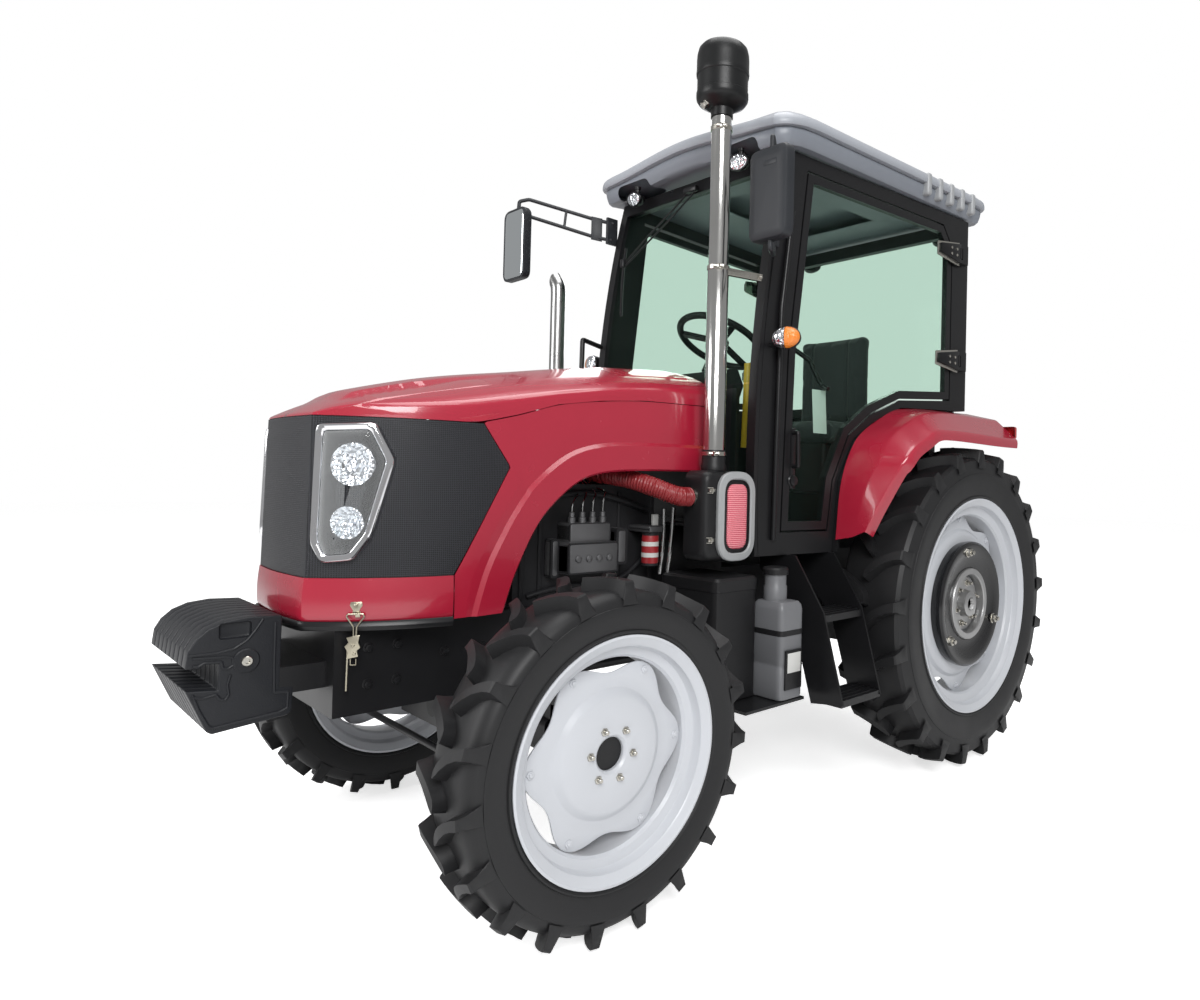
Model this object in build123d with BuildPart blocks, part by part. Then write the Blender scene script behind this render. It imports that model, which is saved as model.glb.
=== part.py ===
"""Four-wheel-drive farm tractor with a closed cab, row-crop lug tyres and a stack of front weights.

Millimetres. The front faces -Y, +X is the tractor's left and +Z is up.
The origin lies on the ground under the middle of the tractor's length.
"""

import os
from math import asin, atan2, cos, degrees, pi, radians, sin, sqrt, tan

from build123d import *

os.makedirs("parts", exist_ok=True)

# ---------------------------------------------------------------- stance and gaps
wheelbase = 2000.0
front_overhang = 880.0  # from the front axle to the face of the front weights
rear_overhang = 1000.0  # from the rear axle to the ends of the lower links
rear_axle_y = (wheelbase + front_overhang - rear_overhang) / 2
front_axle_y = rear_axle_y - wheelbase
seat_gap = 0.3  # between a piece and what it is seated on
bearing_gap = 0.3  # radial play of a shaft in its bore
door_gap = 8.0  # round the doors and between parts that swing past each other

# ---------------------------------------------------------------- wheels
wheel_face_x = 802.0  # outer faces of all four rims
front_flange_radius = 330.0
front_rim_width = 200.0
front_tip_radius = 488.0
front_section_width = 216.0
front_lug_height = 36.0
front_lugs = 19  # on each half of the tread
rear_flange_radius = 474.0
rear_rim_width = 282.0
rear_tip_radius = 708.0
rear_section_width = 300.0
rear_lug_height = 44.0
rear_lugs = 21
flange_height = 25.0
rim_wall = 8.0
rim_drop = 34.0  # from the bead seat down to the drop centre
front_wheel_x = wheel_face_x - front_rim_width / 2
rear_wheel_x = wheel_face_x - rear_rim_width / 2
front_axle_z = front_tip_radius
rear_axle_z = rear_tip_radius

# ---------------------------------------------------------------- front axle and frame
kingpin_x = 575.0
kingpin_radius = 16.0
knuckle_radius = 50.0
knuckle_half_height = 92.0
ear_thickness = 30.0
steering_arm = 180.0
tie_rod_drop = 76.0  # tie rod below the axle line
spindle_radius = 50.0
spindle_recess = 12.0  # spindle's end behind the outer face of the wheel disc
frame_half_width = 250.0
frame_plate = 25.0
frame_bottom_z = 580.0
frame_top_z = 820.0
frame_nose = 550.0  # ahead of the front axle
frame_tail = 170.0  # behind the front axle
saddle_near = 125.0  # saddles on both sides of the axle housing
saddle_plate = 28.0

# ---------------------------------------------------------------- hood
hood_rear_y = -1300.0  # from the rear axle
hood_wall = 12.0
hood_bottom_z = 832.0
hood_half_width = 352.0
hood_flare = 14.0  # the sides are that much wider at the bottom
nose_half_width = 195.0
nose_reach = 590.0  # ahead of the front axle
nose_knee = 175.0  # where the sides start to sweep in, ahead of the front axle
grille_top_z = 1393.0
hinge_pin_radius = 8.0

# ---------------------------------------------------------------- cab
cab_front_y = -1165.0  # from the rear axle, at the foot of the windscreen
cab_rear_y = 200.0
cab_front_half = 500.0
cab_rear_half = 615.0
cab_wall = 40.0
cab_floor_z = 1000.0
cab_top_z = 2520.0
glass_thickness = 6.0
door_frame_width = 34.0
door_thickness = 26.0
roof_height = 175.0
roof_front = 1150.0
roof_rear = 330.0
roof_front_half = 585.0
roof_rear_half = 665.0


def back(distance):
    """Y of a place that far behind the rear axle; ahead of it is negative."""
    return rear_axle_y + distance


def ahead(distance):
    """Y of a place that far ahead of the front axle; behind it is negative."""
    return front_axle_y - distance


def save(part, name):
    part.label = name
    export_step(part, f"parts/{name}.step")


def across(x, y, z, turn=0.0):
    """Plane across an axle: its normal is +X and its own X axis points back, turned by an angle."""
    turned = (0, cos(radians(turn)), sin(radians(turn)))
    return Plane(origin=(x, y, z), x_dir=turned, z_dir=(1, 0, 0))


# ---------------------------------------------------------------- tyres and rims
# columns: name, axle y, axle z, wheel x, flange radius, rim width, tip radius, section width,
# lug height, lugs on each half of the tread
wheels = [
    (
        "front", front_axle_y, front_axle_z, front_wheel_x, front_flange_radius,
        front_rim_width, front_tip_radius, front_section_width, front_lug_height, front_lugs,
    ),
    (
        "rear", rear_axle_y, rear_axle_z, rear_wheel_x, rear_flange_radius,
        rear_rim_width, rear_tip_radius, rear_section_width, rear_lug_height, rear_lugs,
    ),
]
# Plan of a lug, as shares of the tyre's half width. columns: across the tread, ahead, half its width
lug_plan = [(-0.05, 0.33, 0.16), (0.97, -0.33, 0.13)]
lug_reach = lug_plan[0][1] + lug_plan[0][2]  # along the tread, from a lug's middle to its far corner
bead_facets = 16


def tread_planes(x, y, z, distance, start, count):
    """Planes round an axle at one distance from it, one for each lug; their normals point to the axle."""
    planes = []
    for k in range(count):
        angle = radians(start + k * 360 / count)
        outwards = Vector(0, cos(angle), sin(angle))
        planes.append(Plane(origin=Vector(x, y, z) + outwards * distance, x_dir=(1, 0, 0), z_dir=-outwards))
    return planes


for name, axle_y, axle_z, wheel_x, flange, rim_width, tip, section, lug_height, lugs in wheels:
    bead = flange - flange_height
    bead_half = rim_width / 2 - rim_wall - seat_gap - 1
    half = section / 2
    tread = tip - lug_height
    # a lug's far corner is the tyre's lowest point, and this half's lugs lie within the tread's facets
    top = sqrt(tip**2 - (half * lug_reach) ** 2)
    first = -90 - degrees(atan2(half * lug_reach, top))
    turn = first + 180 / lugs
    with BuildPart() as tyre:
        with BuildSketch(across(wheel_x - half, axle_y, axle_z, turn)):
            RegularPolygon(tread, lugs)
        extrude(amount=section)
        # sloping shoulders
        for face in (tyre.faces().sort_by(Axis.X)[0], tyre.faces().sort_by(Axis.X)[-1]):
            chamfer(face.edges(), length=(tread - flange) / 2 - 20, length2=22, reference=face)
        for side, start in ((1, first), (-1, first + 180 / lugs)):
            with BuildSketch(*tread_planes(wheel_x, axle_y, axle_z, top, start, lugs)):
                inner, outer = lug_plan
                Polygon(
                    (side * half * inner[0], half * (inner[1] - inner[2])),
                    (side * half * inner[0], half * (inner[1] + inner[2])),
                    (side * half * outer[0], half * (outer[1] + outer[2])),
                    (side * half * outer[0], half * (outer[1] - outer[2])),
                    align=None,
                )
            extrude(amount=lug_height + 26)
        # columns: distance from the tyre's mid plane, inner radius, how far across
        for off, radius, length in (
            (-half, bead + 1, section),
            (-half, flange + 2, half - bead_half - 1),
            (half, flange + 2, bead_half + 1 - half),
        ):
            with BuildSketch(across(wheel_x + off, axle_y, axle_z, turn)):
                RegularPolygon(radius, bead_facets, major_radius=False)
            extrude(amount=length, mode=Mode.SUBTRACT)
    save(tyre.part, f"tyre_{name}_left")
    save(mirror(tyre.part, about=Plane.YZ), f"tyre_{name}_right")

# columns: name, disc's outer face x, lobes, cut-out radius, their circle, hub hole radius
discs = [
    ("front", 746.0, 6, 75.0, 318.0, spindle_radius),
    ("rear", 716.0, 8, 92.0, 462.0, 92.0),
]
for wheel, disc in zip(wheels, discs):
    name, axle_y, axle_z, wheel_x, flange, rim_width = wheel[:6]
    name, disc_x, lobes, cutout, cutout_circle, hole = disc
    bead = flange - flange_height
    drop = bead - rim_drop
    half = rim_width / 2
    # columns: distance from the wheel's mid plane, outer radius
    channel = [
        (half, flange),
        (half - rim_wall, flange),
        (half - rim_wall, bead),
        (half * 0.75, bead - 4),
        (half * 0.6, drop),
    ]
    outer = [(-off, r) for off, r in channel] + [(off, r) for off, r in reversed(channel)]
    inner = [(half, bead - rim_wall), (half * 0.7, bead - rim_wall - 4), (half * 0.55, drop - rim_wall)]
    inner = [(off, r) for off, r in inner] + [(-off, r) for off, r in reversed(inner)]
    with BuildPart() as rim:
        with BuildSketch(Plane((wheel_x, axle_y, axle_z), x_dir=(1, 0, 0), z_dir=(0, -1, 0))):
            Polygon(*(outer + inner), align=None)
        revolve(axis=Axis((wheel_x, axle_y, axle_z), (1, 0, 0)))
        with BuildSketch(across(disc_x, axle_y, axle_z)):
            Circle(drop - rim_wall / 2)
            Circle(hole + bearing_gap, mode=Mode.SUBTRACT)
            with PolarLocations(cutout_circle, lobes):
                Circle(cutout, mode=Mode.SUBTRACT)
        extrude(amount=-10)
        if name == "front":
            with BuildSketch(across(disc_x, axle_y, axle_z)):
                Circle(hole + 42)
                Circle(hole + bearing_gap, mode=Mode.SUBTRACT)
            extrude(amount=-62)
    save(rim.part, f"rim_{name}_left")
    save(mirror(rim.part, about=Plane.YZ), f"rim_{name}_right")

# ---------------------------------------------------------------- rear wheel weights and hubs
rear_disc_x = discs[1][1]
weight_radius = 282.0
weight_thickness = 62.0
half_shaft_radius = 42.0
with BuildPart() as rear_hub:
    # columns: x from the disc's outer face, radius
    profile = [
        (seat_gap, half_shaft_radius + bearing_gap),
        (seat_gap, weight_radius - 14),
        (weight_thickness - 20, weight_radius),
        (weight_thickness, weight_radius - 8),
        (weight_thickness - 14, weight_radius - 60),
        (weight_thickness - 22, 196),
        (weight_thickness - 8, 190),
        (weight_thickness - 8, 152),
        (28, 146),
        (28, 70),
        (40, 64),
        (40, half_shaft_radius + bearing_gap),
    ]
    with BuildSketch(Plane((rear_disc_x, rear_axle_y, rear_axle_z), x_dir=(1, 0, 0), z_dir=(0, -1, 0))):
        Polygon(*profile, align=None)
    revolve(axis=Axis((0, rear_axle_y, rear_axle_z), (1, 0, 0)))
    with BuildSketch(across(rear_disc_x + seat_gap, rear_axle_y, rear_axle_z)):
        Circle(discs[1][5])
        Circle(half_shaft_radius + bearing_gap, mode=Mode.SUBTRACT)
    extrude(amount=-46)
save(rear_hub.part, "hub_rear_left")
save(mirror(rear_hub.part, about=Plane.YZ), "hub_rear_right")

# ---------------------------------------------------------------- front axle
housing_radius = 108.0
beam_height = 100.0
beam_depth = 120.0
web_x = kingpin_x - knuckle_radius - 12.0
web_depth = 84.0  # narrow, so that the steering arms swing past it
ear_z = knuckle_half_height + 5.0
with BuildPart() as front_axle:
    with BuildSketch(Plane.YZ):
        with Locations((front_axle_y, front_axle_z)):
            RectangleRounded(beam_depth, beam_height, 20)
    extrude(amount=web_x, both=True)
    with BuildSketch(across(-housing_radius, front_axle_y, front_axle_z)):
        Circle(housing_radius)
    extrude(amount=2 * housing_radius, taper=0)
    with BuildSketch(Plane((0, front_axle_y, front_axle_z), x_dir=(1, 0, 0), z_dir=(0, -1, 0))):
        Circle(36)
    extrude(amount=saddle_near + saddle_plate, both=True)
    for side in (1, -1):
        with BuildSketch(Plane.XY.offset(front_axle_z - ear_z - ear_thickness)):
            with Locations((side * (web_x - 15), front_axle_y)):
                Rectangle(30, web_depth)
        extrude(amount=2 * (ear_z + ear_thickness))
        for low in (-ear_z - ear_thickness, ear_z):
            with BuildSketch(Plane.XY.offset(front_axle_z + low)):
                with Locations((side * kingpin_x, front_axle_y)):
                    Circle(knuckle_radius - 2)
                with Locations((side * (kingpin_x + web_x) / 2, front_axle_y)):
                    Rectangle(kingpin_x - web_x, 2 * knuckle_radius - 4)
                with Locations((side * kingpin_x, front_axle_y)):
                    Circle(kingpin_radius + bearing_gap, mode=Mode.SUBTRACT)
            extrude(amount=ear_thickness)
save(front_axle.part, "front_axle")

# ---------------------------------------------------------------- knuckles with spindles and steering arms
arm_thickness = 24.0
tie_rod_z = front_axle_z - tie_rod_drop
tie_end_radius = 7.0
spindle_end_x = discs[0][1] - spindle_recess
with BuildPart() as knuckle:
    with BuildSketch(Plane.XY.offset(front_axle_z - knuckle_half_height)):
        with Locations((kingpin_x, front_axle_y)):
            Circle(knuckle_radius)
    extrude(amount=2 * knuckle_half_height)
    with BuildSketch(Plane.XY.offset(front_axle_z - ear_z - ear_thickness - 8)):
        with Locations((kingpin_x, front_axle_y)):
            Circle(kingpin_radius)
    extrude(amount=2 * (ear_z + ear_thickness + 8))
    with BuildSketch(across(kingpin_x, front_axle_y, front_axle_z)):
        Circle(spindle_radius)
    extrude(amount=spindle_end_x - kingpin_x)
    with BuildSketch(Plane.XY.offset(tie_rod_z - arm_thickness / 2)):
        with Locations((kingpin_x, front_axle_y - steering_arm / 2)):
            Rectangle(36, steering_arm)
        with Locations((kingpin_x, front_axle_y - steering_arm)):
            Circle(18)
    extrude(amount=arm_thickness)
    with BuildSketch(Plane.XY.offset(tie_rod_z - arm_thickness / 2 - 32)):
        with Locations((kingpin_x, front_axle_y - steering_arm)):
            Circle(tie_end_radius)
    extrude(amount=32 + arm_thickness / 2)
save(knuckle.part, "knuckle_left")
save(mirror(knuckle.part, about=Plane.YZ), "knuckle_right")

# The tie rod hangs below the arms, so that it clears them at every lock.
rod_z = tie_rod_z - arm_thickness / 2 - 18
with BuildPart() as tie_rod:
    with BuildSketch(Plane.XY.offset(rod_z - 12)):
        with Locations((kingpin_x, ahead(steering_arm)), (-kingpin_x, ahead(steering_arm))):
            Circle(22)
    extrude(amount=24)
    with BuildSketch(across(-kingpin_x, ahead(steering_arm), rod_z)):
        Circle(11)
    extrude(amount=2 * kingpin_x)
    with BuildSketch(Plane.XY.offset(rod_z - 12)):
        with Locations((kingpin_x, ahead(steering_arm)), (-kingpin_x, ahead(steering_arm))):
            Circle(tie_end_radius + bearing_gap)
    extrude(amount=24, mode=Mode.SUBTRACT)
save(tie_rod.part, "tie_rod")

# ---------------------------------------------------------------- front frame
weight_hanger_z = 690.0
weight_hanger_height = 70.0
weight_back = nose_reach + 38.0  # ahead of the front axle
tongue_reach = weight_back + 110.0
with BuildPart() as front_frame:
    frame_length = frame_nose + frame_tail
    frame_mid = ahead((frame_nose - frame_tail) / 2)
    with BuildSketch(Plane.XY.offset(frame_bottom_z)):
        with Locations((0, frame_mid)):
            Rectangle(2 * frame_half_width, frame_length)
    extrude(amount=frame_top_z - frame_bottom_z)
    with BuildSketch(Plane.XY.offset(frame_bottom_z)):
        with Locations((0, frame_mid + frame_plate)):
            Rectangle(2 * (frame_half_width - frame_plate), frame_length)
    extrude(amount=frame_top_z - frame_bottom_z - frame_plate, mode=Mode.SUBTRACT)
    # the top plate stops ahead of the engine
    with BuildSketch(Plane.XY.offset(frame_bottom_z)):
        with Locations((0, ahead(-frame_tail / 2 - 10))):
            Rectangle(2 * (frame_half_width - frame_plate), frame_tail + 20)
    extrude(amount=frame_top_z - frame_bottom_z + 1, mode=Mode.SUBTRACT)
    # saddles that carry the axle's trunnions
    for start in (saddle_near, -saddle_near - saddle_plate):
        with BuildSketch(Plane((0, ahead(start), 0), x_dir=(1, 0, 0), z_dir=(0, -1, 0))):
            low = front_axle_z - 60
            with Locations((0, (low + frame_bottom_z + 35) / 2)):
                Rectangle(2 * (frame_half_width - frame_plate), frame_bottom_z + 35 - low)
            with Locations((0, front_axle_z)):
                Circle(36 + bearing_gap, mode=Mode.SUBTRACT)
        extrude(amount=saddle_plate)
    # tongue that the front weights hang on
    with BuildSketch(Plane.XY.offset(weight_hanger_z - weight_hanger_height / 2)):
        with Locations((0, ahead((frame_nose + tongue_reach) / 2))):
            Rectangle(2 * nose_half_width, tongue_reach - frame_nose)
    extrude(amount=weight_hanger_height)
save(front_frame.part, "front_frame")

# ---------------------------------------------------------------- front weights
weight_count = 9
weight_pitch = 44.0
weight_gap = 4.0
weight_front = front_overhang
weight_top_z = 868.0
weight_bottom_z = 580.0
with BuildPart() as front_weights:
    hook = weight_hanger_height / 2 + seat_gap
    plate = [
        (ahead(weight_back), weight_top_z - 14),
        (ahead(weight_front - 120), weight_top_z),
        (ahead(weight_front - 50), weight_top_z - 30),
        (ahead(weight_front - 10), weight_top_z - 105),
        (ahead(weight_front), weight_bottom_z + 118),
        (ahead(weight_front - 90), weight_bottom_z),
        (ahead(weight_back), weight_bottom_z + 26),
        (ahead(weight_back), weight_hanger_z - hook),
        (ahead(tongue_reach + seat_gap), weight_hanger_z - hook),
        (ahead(tongue_reach + seat_gap), weight_hanger_z + hook),
        (ahead(weight_back), weight_hanger_z + hook),
    ]
    for k in range(weight_count):
        x = (k - (weight_count - 1) / 2) * weight_pitch
        with BuildSketch(Plane.YZ.offset(x - (weight_pitch - weight_gap) / 2)):
            Polygon(*plate, align=None)
        extrude(amount=weight_pitch - weight_gap)
    # through bolt that holds the stack together
    with BuildSketch(across(-weight_count * weight_pitch / 2 - 12, ahead(weight_back + 190), 745)):
        Circle(13)
    extrude(amount=weight_count * weight_pitch + 24)
save(front_weights.part, "front_weights")

# ---------------------------------------------------------------- engine, radiator and transmission
engine_half_width = 165.0
engine_front = 30.0  # behind the front axle
engine_rear_y = -1372.0
engine_bottom_z = 625.0
engine_top_z = 1215.0
engine_casing_x = 80.0  # left face of the casing on top
with BuildPart() as engine:
    front = ahead(-engine_front)
    length = back(engine_rear_y) - front
    with BuildSketch(Plane.XY.offset(engine_bottom_z + 95)):
        with Locations((0, front + length / 2)):
            Rectangle(2 * engine_half_width, length)
    extrude(amount=engine_top_z - engine_bottom_z - 95)
    with BuildSketch(Plane.XY.offset(engine_bottom_z)):
        with Locations((0, front + length / 2 + 60)):
            Rectangle(230, length - 120)
    extrude(amount=95)
    with BuildSketch(Plane.XY.offset(engine_top_z)):
        with Locations((engine_casing_x - 100, front + length / 2)):
            RectangleRounded(200, length - 60, 20)
    extrude(amount=85)
    # mounting feet between the frame's side plates
    with BuildSketch(Plane.XY.offset(engine_bottom_z + 95)):
        with Locations((0, front + 60)):
            Rectangle(2 * (frame_half_width - frame_plate - seat_gap), 80)
    extrude(amount=60)
    # injection pump, its governor and the fuel filter's head. columns: face x, start y, end y, bottom z, top z
    fittings = [
        (262.0, -880.0, -672.0, 913.0, 1018.0),
        (238.0, -862.0, -690.0, 1018.0, 1084.0),
        (248.0, -672.0, -622.0, 935.0, 1062.0),
        (206.0, -912.0, -880.0, 900.0, 1030.0),
        (283.0, -552.0, -486.0, 1045.0, 1068.0),
    ]
    for face, start, end, low, high in fittings:
        with BuildSketch(Plane.YZ.offset(engine_half_width - 10)):
            with Locations(((start + end) / 2, (low + high) / 2)):
                RectangleRounded(end - start, high - low, 10)
        extrude(amount=face - engine_half_width + 10)
    with BuildSketch(Plane.XY.offset(924)):
        with Locations((250, -519)):
            Circle(30)
    extrude(amount=1045 - 924)
save(engine.part, "engine")

radiator_half_width = 235.0
with BuildPart() as radiator:
    with BuildSketch(Plane.XY.offset(frame_top_z + seat_gap)):
        with Locations((0, ahead(165))):
            Rectangle(2 * radiator_half_width, 90)
    extrude(amount=520)
    with BuildSketch(Plane((0, ahead(120), 1120), x_dir=(1, 0, 0), z_dir=(0, 1, 0))):
        Circle(215)
    extrude(amount=60, taper=25)
save(radiator.part, "radiator")

gearbox_half_width = 180.0
trumpet_radius = 92.0
hub_inner_x = rear_disc_x - 46.0
with BuildPart() as transmission:
    # columns: start y, end y, half width, bottom z, top z
    casings = [
        (engine_rear_y + seat_gap, -1050.0, 215.0, 610.0, 960.0),
        (-1050.0, -330.0, gearbox_half_width, 520.0, 880.0),
        (-330.0, 215.0, 205.0, 500.0, 940.0),
    ]
    for start, end, half, low, high in casings:
        with BuildSketch(Plane.XY.offset(low)):
            with Locations((0, back((start + end) / 2))):
                Rectangle(2 * half, end - start)
        extrude(amount=high - low)
    with BuildSketch(across(-440, rear_axle_y, rear_axle_z)):
        Circle(trumpet_radius)
    extrude(amount=880)
    with BuildSketch(across(-rear_disc_x - 40, rear_axle_y, rear_axle_z)):
        Circle(half_shaft_radius)
    extrude(amount=2 * rear_disc_x + 80)
    for side in (1, -1):
        with BuildSketch(across(side * 440, rear_axle_y, rear_axle_z)):
            Circle(135)
        extrude(amount=side * 45)
    # ears for the rockshaft and pins for the lower links
    for side in (1, -1):
        with BuildSketch(Plane.YZ.offset(side * 95)):
            Polygon(
                (back(215), 940),
                (back(262), 940),
                (back(304), 910),
                (back(304), 870),
                (back(215), 800),
                align=None,
            )
            with Locations((back(262), 895)):
                Circle(26 + bearing_gap, mode=Mode.SUBTRACT)
        extrude(amount=side * 45)
        with BuildSketch(across(side * 205, back(120), 560)):
            Circle(14)
        extrude(amount=side * 45)
    # power take-off shaft
    with BuildSketch(Plane((0, back(215), 610), x_dir=(1, 0, 0), z_dir=(0, 1, 0))):
        Circle(17.5)
    extrude(amount=85)
save(transmission.part, "transmission")

drive_shaft_radius = 27.0
with BuildPart() as drive_shaft:
    shaft_start = ahead(-saddle_near - saddle_plate - 36)
    with BuildSketch(Plane((0, shaft_start, front_axle_z + 45), x_dir=(1, 0, 0), z_dir=(0, 1, 0))):
        Circle(drive_shaft_radius)
    extrude(amount=back(-1050) - seat_gap - shaft_start)
save(drive_shaft.part, "drive_shaft")

# ---------------------------------------------------------------- hood, grille, front band and headlights
panel_gap = 0.6  # between the hood's panels


def hood_outline(z, inset):
    """Plan of the hood's outside at one height, moved inwards by an inset, as corner points."""
    spread = hood_flare * (grille_top_z - z) / (grille_top_z - hood_bottom_z)
    side = hood_half_width + spread - inset
    nose = ahead(nose_reach + spread / 2 - inset)
    knee = ahead(nose_knee)
    rear = back(hood_rear_y)
    middle_x = hood_half_width * 0.86 + spread - inset
    middle_y = ahead(nose_reach * 0.72 - inset)
    return side, nose, knee, rear, middle_x, middle_y


def hood_envelope(inset):
    """Solid of the hood's plan, from below its bottom to above its top."""
    with BuildPart() as envelope:
        for z in (hood_bottom_z - 40, grille_top_z + 380):
            side, nose, knee, rear, middle_x, middle_y = hood_outline(z, inset)
            corner = nose_half_width - inset / 2
            with BuildSketch(Plane.XY.offset(z)):
                with BuildLine():
                    Polyline((corner, nose), (-corner, nose))
                    ThreePointArc((-corner, nose), (-middle_x, middle_y), (-side, knee))
                    Polyline((-side, knee), (-side, rear + 60), (side, rear + 60), (side, knee))
                    ThreePointArc((side, knee), (middle_x, middle_y), (corner, nose))
                make_face()
        loft(ruled=True)
    return envelope.part


# Crown of the hood along its middle. columns: place, height, drop from the middle to the shoulders
crown = [
    (ahead(nose_reach + 20), 1396.0, 12.0),
    (ahead(455), 1476.0, 30.0),
    (ahead(165), 1550.0, 40.0),
    (back(-1560), 1655.0, 46.0),
    (back(hood_rear_y), 1674.0, 48.0),
]
crown_shoulder = 250.0
crown_skirt = 420.0


def crown_solid(inset):
    """Everything below the hood's crown, moved down by an inset."""
    with BuildPart() as below:
        for y, top, drop in crown:
            with BuildSketch(Plane((0, y, 0), x_dir=(1, 0, 0), z_dir=(0, -1, 0))):
                with BuildLine():
                    shoulder = crown_shoulder
                    high = top - inset
                    Polyline(
                        (shoulder, high - drop),
                        (crown_skirt, high - drop - 150),
                        (crown_skirt, hood_bottom_z - 60),
                        (-crown_skirt, hood_bottom_z - 60),
                        (-crown_skirt, high - drop - 150),
                        (-shoulder, high - drop),
                    )
                    ThreePointArc((-shoulder, high - drop), (0, high), (shoulder, high - drop))
                make_face()
        loft(ruled=True)
    return below.part


with BuildPart() as hood_core:
    add(hood_envelope(hood_wall))
    add(crown_solid(hood_wall), mode=Mode.INTERSECT)
with BuildPart() as hood_shell:
    add(hood_envelope(0))
    add(crown_solid(0), mode=Mode.INTERSECT)
    add(hood_core.part, mode=Mode.SUBTRACT)

# Seam between the hood's top and its sides, from the grille's rear corner to the back: place, height
seam = [
    (ahead(190), grille_top_z + 5),
    (ahead(74), 1426.0),
    (back(-1933), 1469.0),
    (back(-1767), 1494.0),
    (back(-1584), 1510.0),
    (back(hood_rear_y), 1516.0),
]
# Wheel arch at the foot of each side, from the front to the back
arch = [
    (ahead(120), hood_bottom_z + 10),
    (ahead(74), 959.0),
    (ahead(-8), 1107.0),
    (back(-1885), 1206.0),
    (back(-1789), 1249.0),
    (back(-1622), 1266.0),
    (back(hood_rear_y), 1269.0),
]
# Rear edge of the grille, from its top corner down to the front band
grille_edge = [
    (ahead(190), grille_top_z + 5),
    (ahead(100), 1267.0),
    (ahead(270), 955.0),
]
band_top_z = 955.0
band_rear = ahead(270)
nose_end = ahead(nose_reach + 80)


def cut_out(points):
    """The part of the hood's shell inside a side view's outline."""
    with BuildPart() as piece:
        with BuildSketch(Plane.YZ):
            Polygon(*points, align=None)
        extrude(amount=600, both=True)
        add(hood_shell.part, mode=Mode.INTERSECT)
    return piece.part


def raised(points, amount):
    return [(y, z + amount) for y, z in points]


top_front = [(nose_end, 1800), (back(hood_rear_y), 1800)]
hinge_y = back(hood_rear_y) + 28
hinge_z = 1600.0
hinge_x = 150.0
with BuildPart() as hood_top:
    add(cut_out([(nose_end, grille_top_z)] + raised(seam, panel_gap) + top_front[::-1]))
    # arms that reach back to the hinge
    for side in (1, -1):
        with BuildSketch(Plane.YZ.offset(side * hinge_x - 9)):
            Polygon(
                (hinge_y - 75, hinge_z + 46),
                (hinge_y - 30, hinge_z + 44),
                (hinge_y + 14, hinge_z + 14),
                (hinge_y + 14, hinge_z - 16),
                (hinge_y - 16, hinge_z - 16),
                align=None,
            )
        extrude(amount=18)
        with BuildSketch(Plane.YZ.offset(side * hinge_x - 9)):
            with Locations((hinge_y, hinge_z)):
                Circle(hinge_pin_radius + bearing_gap)
        extrude(amount=18, mode=Mode.SUBTRACT)
save(hood_top.part, "hood_top")

with BuildPart() as hood_sides:
    upper = raised(seam, 0)
    lower = [(band_rear + panel_gap, hood_bottom_z)] + arch
    edge = [(y + panel_gap, z) for y, z in grille_edge]
    add(cut_out(upper + lower[::-1] + edge[::-1]))
save(hood_sides.part, "hood_sides")

with BuildPart() as front_band:
    add(
        cut_out(
            [
                (nose_end, hood_bottom_z),
                (nose_end, band_top_z),
                (band_rear, band_top_z),
                (band_rear, hood_bottom_z),
            ]
        )
    )
save(front_band.part, "front_band")

with BuildPart() as grille:
    add(
        cut_out(
            [
                (nose_end, band_top_z + panel_gap),
                (nose_end, grille_top_z - panel_gap),
                (ahead(190), grille_top_z - panel_gap),
                (ahead(100), 1267.0),
                (ahead(270), band_top_z + panel_gap),
            ]
        )
    )
save(grille.part, "grille")

# headlights lie over the grille at the corners of the nose
headlight_plan = 46.0  # degrees that they face outwards
with BuildPart() as headlights:
    lamp_plane = Plane(
        origin=(nose_half_width + 78, ahead(nose_reach - 52), 0),
        x_dir=(cos(radians(headlight_plan)), sin(radians(headlight_plan)), 0),
        z_dir=(sin(radians(headlight_plan)), -cos(radians(headlight_plan)), 0),
    )
    bezel = [
        (-88, grille_top_z - 22),
        (62, grille_top_z - 14),
        (112, grille_top_z - 118),
        (62, band_top_z + 110),
        (20, band_top_z + 48),
        (-62, band_top_z + 40),
        (-92, band_top_z + 96),
    ]
    with BuildSketch(lamp_plane):
        Polygon(*bezel, align=None)
    extrude(amount=55, both=True)
    add(hood_envelope(-24), mode=Mode.INTERSECT)
    add(hood_envelope(-panel_gap), mode=Mode.SUBTRACT)
    mirror(about=Plane.YZ)
save(headlights.part, "headlights")

# ---------------------------------------------------------------- cab frame
side_angle = degrees(atan2(cab_rear_half - cab_front_half, cab_rear_y - cab_front_y))


def side_plane(outwards=0.0):
    """Plane of the left side: local X runs back from the front corner, local Y is height."""
    run = radians(side_angle)
    corner = Vector(cab_front_half, back(cab_front_y), 0)
    normal = Vector(cos(run), -sin(run), 0)
    return Plane(origin=corner + normal * outwards, x_dir=(sin(run), cos(run), 0), z_dir=normal)


# Front edge of the side, up the windscreen pillar. columns: behind the front corner, height
pillar_foot = (0.0, cab_floor_z - 40)
pillar_middle = (20.0, 1900.0)
pillar_head = (132.0, cab_top_z)
side_length = (cab_rear_y - cab_front_y) / cos(radians(side_angle))
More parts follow.
